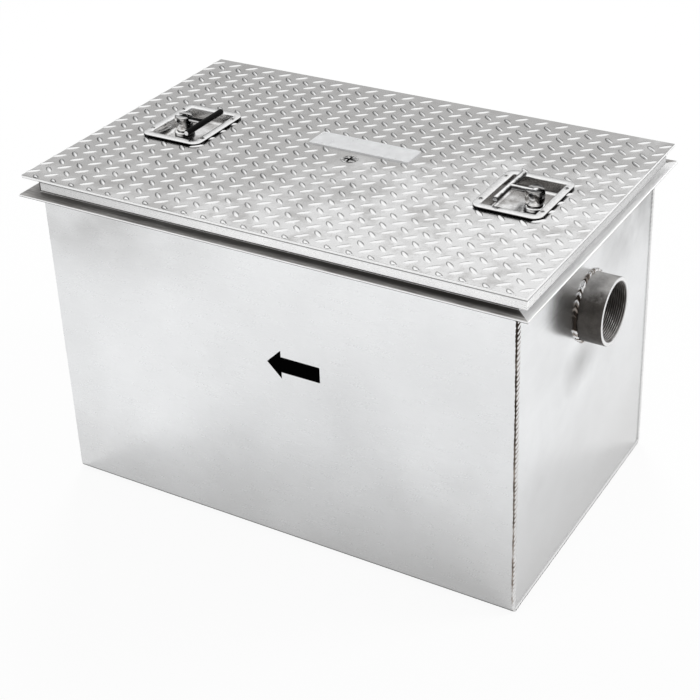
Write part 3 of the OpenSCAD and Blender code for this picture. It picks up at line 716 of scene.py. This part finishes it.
def mirrored(part):
    """A skin's mirror image in x, with its faces turned back outwards."""
    points, faces = part
    return points * [-1, 1, 1], [block[:, ::-1] for block in faces]


ENDS = (("inlet", lambda part: part), ("outlet", mirrored))
print("a tube of 3 outlines of 4 points has", len(quads(3, 4, wrap_cols=True)), "quads")

# %% [markdown]
# Three kinds of outline do most of the work: a rectangle with round corners, flat outlines stacked at given
# heights, as a lathe or a press leaves them, and a round section carried along a path.

# %% Outlines
def round_rect(half_x, half_y, radius, steps=6):
    """Outline of a rectangle with round corners: four quarter turns of steps + 1 points each."""
    turn = np.linspace(0, np.pi / 2, steps + 1)
    turns = (turn + np.arange(4)[:, None] * np.pi / 2).ravel()
    sign_x, sign_y = np.repeat([[1, -1, -1, 1], [1, 1, -1, -1]], steps + 1, axis=1)
    return np.stack([sign_x * (half_x - radius) + radius * np.cos(turns),
                     sign_y * (half_y - radius) + radius * np.sin(turns)], axis=1)


def stacked(outlines, heights):
    """Flat outlines, outlines[k, i] = (x, y), each set at its own height."""
    z = np.broadcast_to(np.asarray(heights)[:, None, None], outlines.shape[:2] + (1,))
    return np.concatenate([outlines, z], axis=-1)


def turned(radii, heights, n):
    """A profile turned about z: a circle of n points for each radius, at its height."""
    return stacked(np.asarray(radii)[:, None, None] * circle(n), heights)


def carried(path, first, second, radius, turn):
    """Round section carried along a path: at each turn the point stands off the path by the radius times
    (cosine of the turn x first direction + sine x second direction)."""
    return (path[:, None] + (radius * np.cos(turn))[..., None] * first
            + (radius * np.sin(turn))[..., None] * second)


block = stacked(np.stack([round_rect(5, 5, 0.01)] * 2), [0, 10])
print("check: a 10 mm block holds", round(volume(*skin(block)) / 6), "cubic mm")

# %% [markdown]
# A piece is one mesh of one or more skins. It keeps its place in its points, rides on a CAD body and hides
# the CAD nodes it stands for. Numbers that its finish needs, such as where a weld's grooves are, are kept
# at its points as marks.

# %% Piece maker
def make(name, skins, body, finish, slot=None, replaces=(), sharp=38, **marks):
    """Joins skins into one smooth mesh at the origin, gives it its finish and lets it ride on a CAD body.
    Edges that bend by more than sharp degrees stay sharp. Each mark is one number a point."""
    points = np.concatenate([s[0] for s in skins]) * MM
    starts = np.cumsum([0] + [len(s[0]) for s in skins])
    blocks = [block + start for s, start in zip(skins, starts) for block in s[1]]
    sizes = np.concatenate([np.full(len(b), b.shape[1]) for b in blocks])
    mesh = bpy.data.meshes.new(name)
    mesh.vertices.add(len(points))
    mesh.vertices.foreach_set("co", points.astype(np.float32).ravel())
    mesh.loops.add(int(sizes.sum()))
    mesh.loops.foreach_set("vertex_index", np.concatenate([b.ravel() for b in blocks]).astype(np.int32))
    mesh.polygons.add(len(sizes))
    mesh.polygons.foreach_set("loop_start", (np.cumsum(sizes) - sizes).astype(np.int32))
    mesh.polygons.foreach_set("use_smooth", np.ones(len(sizes), bool))
    mesh.update(calc_edges=True)
    mesh.set_sharp_from_angle(angle=math.radians(sharp))
    mesh.materials.append(finish)
    for mark, values in marks.items():
        mesh.attributes.new(mark, "FLOAT", "POINT").data.foreach_set("value", values.astype(np.float32))
    piece = bpy.data.objects.new(name, mesh)
    bpy.context.scene.collection.objects.link(piece)
    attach(piece, body)
    if replaces:
        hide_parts(*replaces)
    print(f"{name}: {len(points)} points, {len(sizes)} faces")


# %% [markdown]
# ## Tread plate
# Tread plate is rolled hot: the roller's pockets leave lens-shaped lugs in two crossing directions, and the
# plate is then sheared to size, so lugs at its edge are cut through. Carving lugs with booleans would be
# slow and rough. Here the plate is a grid with windows for the latches and a round patch for the screw, and
# one small dome, a function of two parameters, is laid at every lattice place as a single array.

# %% Tread pattern
PITCH = np.array([33.6, 30.4])
LUG_L, LUG_W, LUG_TURN = 24.2, 8.2, math.radians(42)
KEPT_CLEAR = dict(label_plate=4, inlet_latch_gasket=3, outlet_latch_gasket=3, centre_screw=5)
HALF = PLATE_HIGH[:2]


def lug_places():
    """Places and turns of all lugs: a rectangular lattice turned one way, and one half a pitch on turned
    the other way, without those under the label, the screw and the latch gaskets, or on the rear edge."""
    n = np.arange(-14, 15)
    grid = np.stack(np.meshgrid(n, n, indexing="ij"), axis=-1).reshape(-1, 2)
    places = np.concatenate([grid * PITCH, (grid + 0.5) * PITCH])
    turns = np.repeat([LUG_TURN, -LUG_TURN], len(grid))
    keep = (np.abs(places) < HALF + 3).all(axis=1) & (places[:, 1] < HALF[1] - 5)
    for node, margin in KEPT_CLEAR.items():
        low, high = corners(node)
        near = (places > low[:2] - margin) & (places < high[:2] + margin)
        keep &= ~near.all(axis=1)
    return places[keep], turns[keep]


LUG_PLACES, LUG_TURNS = lug_places()
print("lugs:", len(LUG_PLACES))

# %% Lugs
LUG_SUNK, ROUND = 0.15, 0.5
LUG_U, LUG_V = np.meshgrid(np.linspace(-1, 1, 9), np.linspace(-1, 1, 5), indexing="ij")
EDGE = HALF - ROUND


def lug_domes():
    """Every lug as one array: half length a and half width b(u) = b (1.04 - |u|^2.4), crowned by a height
    that falls off as (1 - |u|^3) along and (1 - v^2) across, to the power 0.6. Its border is sunk a little,
    and what passes the plate's edge is cut back to it."""
    along = LUG_L / 2 * LUG_U
    across = LUG_W / 2 * LUG_V * (1.04 - np.abs(LUG_U) ** 2.4)
    rise = (LUG_H + LUG_SUNK) * ((1 - np.abs(LUG_U) ** 3) * (1 - LUG_V ** 2)) ** 0.6 - LUG_SUNK
    c, s = np.cos(LUG_TURNS)[:, None, None], np.sin(LUG_TURNS)[:, None, None]
    x = LUG_PLACES[:, 0, None, None] + c * along - s * across
    y = LUG_PLACES[:, 1, None, None] + s * along + c * across
    points = np.stack([np.clip(x, -EDGE[0], EDGE[0]), np.clip(y, -EDGE[1], EDGE[1]),
                       np.broadcast_to(PLATE_TOP + rise, x.shape)], axis=-1)
    starts = np.arange(len(LUG_PLACES))[:, None, None] * LUG_U.size
    return points.reshape(-1, 3), [(starts + quads(*LUG_U.shape)[None, :, ::-1]).reshape(-1, 4)]


def lug_marks():
    """Painted shade on the lugs that lie along the tread, 0 to 1 at each point of lug_domes: full on the border
    near the sheltered tip, u = -1, fading to none past the middle, and three quarters as strong on the far
    side. Also gives a second painted shade for these lugs, strongest on the left flank and fading towards both
    ends."""
    # Painted shade near the sheltered tip, and on the left flank.
    border = np.maximum(np.abs(LUG_V) > 0.9, LUG_U < -0.9)
    scale = border * np.clip(0.75 - 0.95 * LUG_U, 0, 1) * np.where(LUG_V > 0, 0.75, 1.0)
    dull = np.clip(-0.1 - 1.5 * LUG_V, 0, 1) * (1 - LUG_U ** 4)
    lies_along = (LUG_TURNS < 0)[:, None, None]
    return (lies_along * scale).ravel(), (lies_along * dull).ravel()


print("points of all lugs:", len(LUG_PLACES) * LUG_U.size)

# %% [markdown]
# The plate itself is cut into cells by lines at the window edges, and cells in a window are left out. Four
# walls line each window. The sheared outer edge is a small profile carried round the boundary, and round the
# screw the plate is sunk as a cone.

# %% Parts of the plate
PATCH_HALF, SINK_R, SINK_IN, SINK_DEPTH = 20.0, 13.6, 6.8, 4.2


def cells(x, y, keep, z, up):
    """Flat cells of a grid of lines x and y at height z, those that keep marks, facing up or down."""
    gx, gy = np.meshgrid(x, y, indexing="ij")
    points = np.stack([gx, gy, np.full_like(gx, z)], axis=-1).reshape(-1, 3)
    faces = quads(len(x), len(y))[keep.ravel()]
    return points, [faces[:, ::-1] if up else faces]


def window_wall(low, high, z0, z1):
    """Four upright walls of a rectangular window, facing into it."""
    ring = np.array([[low[0], low[1]], [high[0], low[1]], [high[0], high[1]], [low[0], high[1]]])
    return stacked(np.stack([ring, ring]), [z0, z1]).reshape(-1, 3), [quads(2, 4, wrap_cols=True)[:, ::-1]]


def plate_edge(x, y):
    """Sheared edge: a profile with small round corners carried round the plate's boundary."""
    ring = np.concatenate([np.c_[x, np.full(len(x), y[0])], np.c_[np.full(len(y) - 2, x[-1]), y[1:-1]],
                           np.c_[x[::-1], np.full(len(x), y[-1])], np.c_[np.full(len(y) - 2, x[0]), y[-2:0:-1]]])
    side = np.where(np.isclose(np.abs(ring), [x[-1], y[-1]]), np.sign(ring), 0)
    out = ROUND * np.array([0, 0.7, 1, 1, 0.7, 0])
    low, top = PLATE_LOW[2], PLATE_TOP
    z = [top, top - 0.3 * ROUND, top - ROUND, low + ROUND, low + 0.3 * ROUND, low]
    points = stacked(ring + side * out[:, None, None], z)
    return points.reshape(-1, 3), [quads(6, len(ring), wrap_cols=True)[:, ::-1]]


def screw_patch(n=48):
    """Rings that go from a square to a circle, each point sliding from the square's edge to the circle, and
    then down the cone that the screw sits in."""
    around = circle(n)
    square = around / np.abs(around).max(axis=1, keepdims=True) * PATCH_HALF
    share = np.linspace(0, 1, 4)[:, None, None]
    flat = square * (1 - share) + around * SINK_R * share
    sunk = np.stack([around * SINK_R, around * (SINK_R - SINK_IN)])
    rings = stacked(np.concatenate([flat, sunk]), PLATE_TOP - np.array([0, 0, 0, 0, 0, SINK_DEPTH]))
    return rings.reshape(-1, 3), [quads(6, n, wrap_cols=True)[:, ::-1]]


print("screw's cone:", 2 * SINK_R, "mm wide,", SINK_DEPTH, "mm deep")

# %% Plate with windows
PAN_FLANGE, PAN_LIP = 12.5, 2.9


def flat_plate():
    """The plate's skins without its lugs: top and underside cells, edge, screw patch and window walls."""
    inset = PAN_FLANGE - PAN_LIP
    low, high = PAN_LOW[:2] + inset, PAN_HIGH[:2] - inset
    x = np.array([-EDGE[0], -high[0], -low[0], -PATCH_HALF, PATCH_HALF, low[0], high[0], EDGE[0]])
    y = np.array([-EDGE[1], low[1], -PATCH_HALF, PATCH_HALF, high[1], EDGE[1]])
    under = np.ones((len(x) - 1, len(y) - 1), bool)
    under[[1, 5], 1:4] = False
    upper = under.copy()
    upper[3, 2] = False
    wall = window_wall(low, high, PLATE_LOW[2], PLATE_TOP)
    return [cells(x, y, upper, PLATE_TOP, True), cells(x, y, under, PLATE_LOW[2], False), plate_edge(x, y),
            screw_patch(), wall, mirrored(wall)]


plate_skins = [lug_domes(), *flat_plate()]
without_lugs = sum(len(points) for points, _ in plate_skins[1:])
scale, dull = (np.pad(values, (0, without_lugs)) for values in lug_marks())
make("tread_plate", plate_skins, "cover", tread_steel, "tread_steel", ["cover_plate"], 50, scale=scale, dull=dull)

# %% [markdown]
# ## Weld beads
# A hand weld is a row of small pools, each laid over the edge of the one before, so its surface is scalloped
# like stacked coins. The bead is a round section carried along the seam, whose radius rises and falls with
# every pool. The pools are curved because the middle of the pool runs ahead.

# %% Bead
SECTION = np.linspace(-np.pi, np.pi, 17)[:-1]
POOL, POOL_SLANT, WANDER = 7.7, 4.6, 0.6


def bead(path, across, radius):
    """Round section carried along a path: radius times (0.74 + 0.26 x the arch of the pool it is in). Pools
    follow each other at a length of POOL and slant round the bead. Also gives the groove: 1 - arch, and 1
    along the toe, the line where the bead meets the folded sheet."""
    step = np.linalg.norm(np.diff(path, axis=0), axis=1)
    s = np.concatenate([[0], np.cumsum(step)])[:, None]
    wave = WANDER * (np.sin(s / 23.0) + np.sin(s / 9.1 + 1.0))
    phase = np.mod((s + wave + POOL_SLANT * SECTION) / POOL, 1.0)
    arch = np.sqrt(np.clip(1 - (2 * phase - 1) ** 2, 0, 1))
    r = radius * (0.74 + 0.26 * arch) * (1 + 0.06 * np.sin(s / 31.0) + 0.05 * np.sin(s / 5.3))
    toe = np.exp(-((SECTION + 1.75) / 0.42) ** 2)
    return carried(path, X, across[:, None], r, SECTION), np.clip(1 - arch + toe, 0, 1)


print("pools in a metre of seam:", round(1 / (POOL * MM)))

# %% Beads along the end plates
FULL_BEAD, THIN_BEAD = 3.5, 2.2
# Radius of the seam's fold, and its points up a corner, round a fold and along the floor.
SEAM_FOLD, SEAM_UP, SEAM_TURN, SEAM_FLOOR = 6.0, 620, 14, 560


def end_seam():
    """Points down the front corner, round the fold, along the floor, round the other fold and up the rear
    corner, with the inward direction at each point."""
    low, high = corners("inlet_end_weld")
    half, foot, fold = -low[1], low[2], SEAM_FOLD
    down = np.c_[np.full(SEAM_UP, -half), np.linspace(high[2] - 1, foot + fold, SEAM_UP)]
    t = np.linspace(np.pi, 1.5 * np.pi, SEAM_TURN + 2)[1:-1]
    spoke = np.c_[np.cos(t), np.sin(t)]
    first = fold * spoke + [fold - half, foot + fold]
    along = np.c_[np.linspace(-half + fold, half - fold, SEAM_FLOOR), np.full(SEAM_FLOOR, foot)]
    yz = np.concatenate([down, first, along, first[::-1] * [-1, 1], down[::-1] * [-1, 1]])
    inward = np.concatenate([np.tile([1, 0], (SEAM_UP, 1)), -spoke, np.tile([0, 1], (SEAM_FLOOR, 1)),
                             spoke[::-1] * [1, -1], np.tile([-1, 0], (SEAM_UP, 1))])
    return yz, inward


def end_bead(front):
    """The seam's bead, a little outside the corner so that it laps over the edge of the folded sheet. It is
    of one radius up the front corner and thin, after a short blend, on the rest, where its grooves fade."""
    yz, inward = end_seam()
    x = corners("inlet_end_plate")[1][0] + 0.4
    path = np.c_[np.full(len(yz), x), yz - inward]
    radius = np.interp(np.arange(len(yz)), [SEAM_UP - 30, SEAM_UP + 30], [front, THIN_BEAD])[:, None]
    points, groove = bead(path, np.c_[np.zeros(len(yz)), inward], radius)
    return skin(points), (groove * np.clip(radius / FULL_BEAD, 0, 1) ** 2).ravel()


for (end, side), front in zip(ENDS, (FULL_BEAD, THIN_BEAD)):
    seam, groove = end_bead(front)
    make(end + "_end_bead", [side(seam)], "tank", weld_metal, "weld_metal", [end + "_end_weld"], 180, groove=groove)

# %% [markdown]
# The fillet weld round a coupling is laid by hand in short runs, so its pools are uneven and lumpy. Random
# lumps would leave a step where the ring closes. Sines with a whole number of waves in the ring don't.

# %% Beads round the couplings
PIPE_LOW, PIPE_HIGH = corners("inlet_coupling")
PIPE_R, PIPE_Z = (PIPE_HIGH[1] - PIPE_LOW[1]) / 2, (PIPE_LOW[2] + PIPE_HIGH[2]) / 2
FILLET_R, FILLET_OUT = 2.9, 1.0
LUMPS = ((0.10, 7, 2), (0.13, 19, 5), (0.12, 31, 3), (0.08, 53, 11))
# Where the ring's stretch of painted shade lies and how wide it is, in radians.
SHADED_AT, SHADED_WIDE = 3.08, 0.34


def coupling_bead(n=420):
    """A section carried round the coupling's foot, tucked into the corner with the end plate, whose radius is
    a sum of sines of uneven rate round the ring: ragged lumps instead of even pools. One stretch is painted
    black as shade."""
    t = np.linspace(0, 2 * np.pi, n, endpoint=False)
    spoke = np.c_[np.zeros(n), circle(n)]
    path = spoke * (PIPE_R + FILLET_OUT) + [PIPE_LOW[0] + FILLET_OUT, 0, PIPE_Z]
    twist = t[:, None] + 0.05 * SECTION
    lumps = sum(a * np.sin(k * twist + 1.6 * np.sin(j * twist + k)) for a, k, j in LUMPS)
    # Painted shade: a black stretch of the ring.
    shaded_stretch = np.exp(-((t[:, None] - SHADED_AT) / SHADED_WIDE) ** 2)
    points = carried(path, X, spoke[:, None], FILLET_R * (1 + lumps), SECTION)
    return skin(points, ring=True), np.clip(0.26 - 1.9 * lumps + shaded_stretch, 0, 1).ravel()


ring, groove = coupling_bead()
for end, side in ENDS:
    make(end + "_coupling_bead", [side(ring)], "tank", weld_metal, "weld_metal", [end + "_coupling_weld"], 180,
         groove=groove)

# %% [markdown]
# ## Couplings
# A pipe coupling is turned on a lathe and tapped with a pipe thread. Its outside is a profile turned about
# the axis. The thread is one more turned surface, whose radius is a triangle wave of the distance along the
# axis less the pitch for every turn, which makes it a true helix.

# %% Couplings
THREAD_PITCH, THREAD_DEPTH, THREAD_LEAD = 3.175, 1.9, 4.0
PIPE_WALL = 8.5


def coupling(n=120, rows=150):
    """Turned outside profile, then the bore from the mouth inwards, with a helical triangle wave that dies
    away over the lead at the mouth. Also gives the crest: 1 on the thread's crests."""
    length, bore = PIPE_HIGH[0] - PIPE_LOW[0], PIPE_R - PIPE_WALL
    t = np.linspace(0, 2 * np.pi, n, endpoint=False)
    a = np.array([0, length - 1.6, length - 0.5, length, length, length - 0.3])[:, None]
    r = np.array([PIPE_R, PIPE_R, PIPE_R - 0.35, PIPE_R - 1.4, bore + 3.4, bore + 2.9])[:, None]
    along = np.linspace(length - 1.0, 0, rows)[:, None]
    saw = np.abs(2 * np.mod(along / THREAD_PITCH - t / (2 * np.pi), 1.0) - 1)
    lead = np.clip((length - along) / THREAD_LEAD, 0, 1)
    thread = bore + THREAD_DEPTH * (saw ** 0.8 * lead + (1 - lead))
    radius = np.concatenate([np.broadcast_to(r, (6, n)), thread])
    axial = np.concatenate([np.broadcast_to(a, (6, n)), np.broadcast_to(along, (rows, n))])
    points = np.stack([PIPE_LOW[0] + axial, radius * np.cos(t), PIPE_Z + radius * np.sin(t)], axis=-1)
    crest = np.concatenate([np.zeros((6, n)), (1 - saw) * lead])
    return skin(points, ring=True), crest.ravel()


pipe, crest = coupling()
for end, side in ENDS:
    make(end + "_pipe_coupling", [side(pipe)], "tank", coupling_steel, "coupling_steel", [end + "_coupling"],
         crest=crest)

# %% [markdown]
# ## Flow arrow
# A black arrow on the front wall points downstream, to the outlet. It is sprayed through a stencil, so it is
# a film far thinner than the sheet, standing just proud of the wall.

# %% Flow arrow
def flow_arrow():
    """Arrow outline as two stacked outlines, the wall's face and 0.2 mm in front of it."""
    tip, neck, tail, z, head, shaft = -4.7, 19.0, 84.0, 313.5, 23.5, 12.75
    outline = np.array([[tip, z], [neck, z - head], [neck, z - shaft], [tail, z - shaft],
                        [tail, z + shaft], [neck, z + shaft], [neck, z + head]])
    wall = corners("body_wrap")[0][1]
    return skin(np.stack([np.c_[outline[:, 0], np.full(7, y), outline[:, 1]] for y in (wall - 0.02, wall - 0.2)]))


make("flow_arrow", [flow_arrow()], "tank", arrow_paint, sharp=20)

# %% [markdown]
# ## Latch pans
# Each pan is pressed from one sheet: a flat flange, a rolled lip and a sunk tray. One profile, written as
# offsets from the opening's edge and heights, is carried round a rectangle with round corners. Going out
# over the top and back underneath gives the sheet its thickness, with a lip as round as the press leaves it,
# which a Solidify modifier on a plain tray would not.

# %% Latch pans
PAN_MIDDLE, PAN_HALF = (PAN_HIGH + PAN_LOW) / 2, (PAN_HIGH - PAN_LOW) / 2
CORNER_IN, CORNER_OUT = 1.9, 14.0


def latch_pan():
    """Profile of (offset, drop) pairs carried round the opening; the tray's middle is closed by caps.
    Also gives the flange's lower edge: 1 on it and 0 elsewhere."""
    flange, t, deep = PAN_FLANGE, PAN_SHEET, PAN_FLOOR - PAN_TOP
    half = PAN_HALF - flange
    profile = np.array([
        [-38, deep], [-20, deep], [-7.0, deep], [-4.6, deep + 0.5], [-2.6, deep + 1.8], [-1.3, deep + 3.8],
        [-0.8, deep + 6.4], [-0.2, -2.2], [0.2, -0.9], [0.9, -0.2], [1.9, 0], [6.0, 0], [flange - 1.1, 0],
        [flange - 0.4, -0.15], [flange, -0.7], [flange, -1.4], [flange - 0.5, -t], [3.4, -t], [2.2, -2.6],
        [1.8, -4.0], [1.1, deep + 5.9], [0.5, deep + 3.2], [-1.2, deep + 0.5], [-3.7, deep - 1.2],
        [-7.0, deep - t], [-20, deep - t], [-38, deep - t]])
    radius = np.clip(CORNER_IN + profile[:, 0] * ((CORNER_OUT - CORNER_IN) / flange), 0.6, None)
    rings = np.stack([round_rect(half[0] + d, half[1] + d, r) for d, r in zip(profile[:, 0], radius)])
    edge = np.isin(np.arange(len(profile)), [15, 16, 17])
    return skin(stacked(rings + PAN_MIDDLE[:2], PAN_TOP + profile[:, 1])), np.repeat(edge, rings.shape[1])


pressed, edge = latch_pan()
for (end, side), finish in zip(ENDS, pan_finishes):
    make(end + "_pressed_pan", [side(pressed)], "cover", finish, "latch_steel", [end + "_latch_pan"], 50, edge=edge)

# %% [markdown]
# ## Rivets
# Eight blind rivets hold the pans down. Each head is a low dome, part of an ellipse turned about its axis,
# with the pit that the drawn pin leaves. One dome is worked out and set at all eight places, in one mesh.

# %% Rivets
RIVET_R, RIVET_H, RIVET_IN, RIVET_Y = 3.4, 0.9, 6.25, 41.0


def rivet_domes(n=24):
    """Low heads at the eight rivet places, with a short shank below and the pit of the drawn mandrel in the
    middle. Also gives the pit: 1 in it and 0 elsewhere."""
    q = np.linspace(0, 0.34 * np.pi, 5)
    r = np.concatenate([[2.0, 2.0], RIVET_R * np.cos(q), [1.4, 1.3, 0.2]])
    z = np.concatenate([[PLATE_LOW[2], PAN_TOP - 0.05], PAN_TOP + RIVET_H * np.sin(q),
                        PAN_TOP + np.array([0.78, 0.2, 0.15])])
    dome = turned(r, z, n)
    places = [(side * (PAN_MIDDLE[0] + i * (PAN_HALF[0] - RIVET_IN)), j * RIVET_Y)
              for side in (1, -1) for i in (1, -1) for j in (1, -1)]
    pit = np.tile(np.repeat(np.arange(len(r)) > len(r) - 4, n), len(places))
    return [skin(dome + [x, y, 0]) for x, y in places], pit


domes, pit = rivet_domes()
make("rivet_heads", domes, "cover", rivet_steel, "latch_steel", ["latch_rivets"], pit=pit)

# %% [markdown]
# ## T-handles
# The handle is bent and welded from round rod: a grip across the end, a shank that flares into it, and a
# knuckle on the pin. Each is a circle carried along its own axis, drawn in at the ends to break the edge.

# %% T-handles
PIN = sum(corners("inlet_pin")) / 2
GRIP_R, SHANK_R = 4.75, 4.0


def rod(axis_points, first, second, radius):
    """Circle of the given radius at each point of an axis, in the plane of two directions."""
    turn = np.linspace(0, 2 * np.pi, 28, endpoint=False)
    return skin(carried(axis_points, first, second, radius[:, None], turn))


def handle():
    """Grip along y, shank along x that widens towards the grip, and knuckle along y on the pin's axis."""
    low, high = corners("inlet_handle")
    s = high[1] - np.array([0, 0.25, 1.0, 2.0])
    grip = np.array([low[0] + GRIP_R, 0, PIN[2]]) + np.concatenate([-s, [0], s[::-1]])[:, None] * Y
    grip_r = GRIP_R * np.array([0.72, 0.84, 0.96, 1, 1, 1, 0.96, 0.84, 0.72])
    u = np.linspace(0, 1, 14)
    shank = grip[4] * (1 - u[:, None]) + PIN * u[:, None]
    shank_r = SHANK_R + 0.7 * np.exp(-9 * u) + 0.6 * np.clip(u - 0.75, 0, 1)
    knuckle = PIN + np.array([-5, -4.8, -4.2, 4.2, 4.8, 5.0])[:, None] * Y
    knuckle_r = np.array([4.8, 5.2, 5.5, 5.5, 5.2, 4.8])
    return [rod(grip, X, Z, grip_r), rod(shank, Y, Z, shank_r), rod(knuckle, X, Z, knuckle_r)]


for (end, side), finish in zip(ENDS, (rod_steel, dark_handle)):
    make(end + "_t_handle", [side(part) for part in handle()], end + "_grip", finish, "latch_steel",
         [end + "_handle"])

# %% [markdown]
# ## Spindles
# A spindle is turned from round bar and its head milled with a slot for the handle. The foot and shaft are
# a turned profile with a groove between foot and head. Each of the two ears is a slice of a circle with a round
# top. The pin through them is peened over at both ends, so its heads stand a little proud.

# %% Spindles
HEAD_R, EAR_GAP, SLOT_BELOW_PIN, FOOT_CLEAR = 14.3, 5.3, 5.8, 0.3


def spindle():
    """Turned foot, groove, head and shaft, and two ears: circle segments beyond the slot, stacked up the head
    and drawn in towards the top as a quarter round."""
    low, high = corners("inlet_spindle")
    foot, slot, centre = PAN_FLOOR + FOOT_CLEAR, PIN[2] - SLOT_BELOW_PIN, PIN * X
    r = [0.3, 6.0, 6.35, 6.35, 15.2, 16.0, 16.0, 15.2, 12.2, 11.6, 12.2, 13.6, HEAD_R, HEAD_R, 13.8, 0.3]
    z = np.concatenate([low[2] + np.array([0, 0, 0.6]),
                        foot + np.array([0, 0, 0.7, 4.8, 5.6, 6.0, 7.6, 9.0, 11.0, 14.0]),
                        slot + np.array([-0.6, 0, 0])])
    start = math.asin(EAR_GAP / HEAD_R)
    a = np.linspace(start, math.pi - start, 22)
    chord = np.linspace(-1, 1, 10)[1:-1] * math.sqrt(HEAD_R ** 2 - EAR_GAP ** 2)
    ear = np.concatenate([HEAD_R * np.c_[np.cos(a), np.sin(a)], np.c_[chord, np.full(8, EAR_GAP)]])
    middle = ear.mean(axis=0)
    levels = np.concatenate([[slot - 0.5], high[2] - np.array([4.5, 2.6, 1.2, 0.35, 0])])
    drawn_in = np.array([1, 1, 0.965, 0.89, 0.77, 0.60])[:, None, None]
    rings = stacked(middle + drawn_in * (ear - middle), levels)
    return [skin(part + centre) for part in (turned(r, z, 48), rings, rings * [1, -1, 1])]


def pivot_pin():
    """A rod along y through both ears, whose ends swell into low domes."""
    s = HEAD_R + np.array([-2.6, -0.9, -0.7, -0.2, 0.3, 0.6])
    r = np.array([2.45, 2.45, 3.4, 3.6, 3.0, 1.2])
    return rod(PIN + np.concatenate([-s[::-1], s])[:, None] * Y, X, Z, np.concatenate([r[::-1], r]))


for (end, side), finish in zip(ENDS, (grey_latch, bright_latch)):
    make(end + "_clevis", [side(part) for part in spindle()], end + "_latch", finish, "latch_steel",
         [end + "_spindle"])
    make(end + "_pivot_pin", [side(pivot_pin())], end + "_latch", pin_steel, "latch_steel", [end + "_pin"])

# %% [markdown]
# ## Rim
# Rolled angle has small round edges, and it is those edges that catch the light as thin bright lines. A cube
# with a Bevel modifier would do for one side, but the four sides meet in mitres. Here a rounded section is
# carried from end to end, and each of its points reaches as far past the corner as it stands out.

# %% Rim angles
def rounded(outline, radius, steps=3):
    """Cuts each corner of an outline by a small arc: points between the two cut points, pulled half way to
    the corner along a parabola."""
    before, after = np.roll(outline, 1, axis=0) - outline, np.roll(outline, -1, axis=0) - outline
    before *= radius / np.linalg.norm(before, axis=1, keepdims=True)
    after *= radius / np.linalg.norm(after, axis=1, keepdims=True)
    u = np.linspace(0, 1, steps + 1)[None, :, None]
    return (outline[:, None] + before[:, None] * (1 - u) ** 2 + after[:, None] * u ** 2).reshape(-1, 2)


LEG, LEG_T, EDGE_R = 25.4, 3.2, 0.9
ANGLE = rounded(np.array([[0, 0], [LEG, 0], [LEG, LEG_T], [LEG_T, LEG_T], [LEG_T, LEG], [0, LEG]]), EDGE_R)


def rim_side(wall, half, foot, turn):
    """The angle's section along one wall, its ends mitred: each point reaches as far past the corner as it
    stands out from the wall; then turned about z."""
    ends = np.stack([np.c_[sign * (half + ANGLE[:, 0]), -wall - ANGLE[:, 0], foot + ANGLE[:, 1]]
                     for sign in (-1, 1)])
    c, s = math.cos(turn), math.sin(turn)
    return skin(ends @ np.array([[c, s, 0], [-s, c, 0], [0, 0, 1]]))


low, high = corners("rim_angle_front")
HALF_L, HALF_W, FOOT = high[0] - LEG, -low[1] - LEG, low[2]
for name, wall, half, turn, finish in (("front", HALF_W, HALF_L, 0, rim_steel),
                                       ("inlet", HALF_L, HALF_W, math.pi / 2, rim_lit),
                                       ("rear", HALF_W, HALF_L, math.pi, rim_steel),
                                       ("outlet", HALF_L, HALF_W, -math.pi / 2, rim_steel)):
    make("rim_" + name, [rim_side(wall, half, FOOT, turn)], "tank", finish, "rim_steel",
         ["rim_angle_" + name], sharp=45)

# %% [markdown]
# ## Edge bars
# Four flat bars under the plate's edge stiffen the cover and give it its thick look. Like the rim, each is a
# rounded section carried from end to end, drawn in a little where the saw's edge was broken.

# %% Edge bars
def edge_bar(node):
    """Bar section with round edges carried along the bar's longer side, drawn in at both ends."""
    low, high = corners(node)
    middle, half = (low + high) / 2, (high - low) / 2
    run = 0 if half[0] > half[1] else 1
    along, across = (X, Y) if run == 0 else (Y, X)
    s = half[run] - np.array([0, 0.3, 1])
    s = np.concatenate([-s, s[::-1]])[:, None, None]
    grow = np.array([0.8, 0.95, 1, 1, 0.95, 0.8])[:, None, None]
    section = round_rect(half[1 - run], half[2], EDGE_R, 3)
    return skin(middle + s * along + grow * section[:, :1] * across + grow ** 0.5 * section[:, 1:] * Z)


for name, finish in (("front", edge_steel), ("rear", edge_steel), ("inlet", side_edge), ("outlet", side_edge)):
    make("bar_" + name, [edge_bar("edge_bar_" + name)], "cover", finish, "edge_steel", ["edge_bar_" + name],
         sharp=60)

# %% [markdown]
# ## Screw and label
# The screw keeps its CAD shape and takes a finish of its own, worn bright, with its recess painted black as
# shade. The label plate is left bare.

# %% Screw
cad["centre_screw"].data.materials[0] = screw_steel
print("screw finish set")

# %% End
print("scene built")
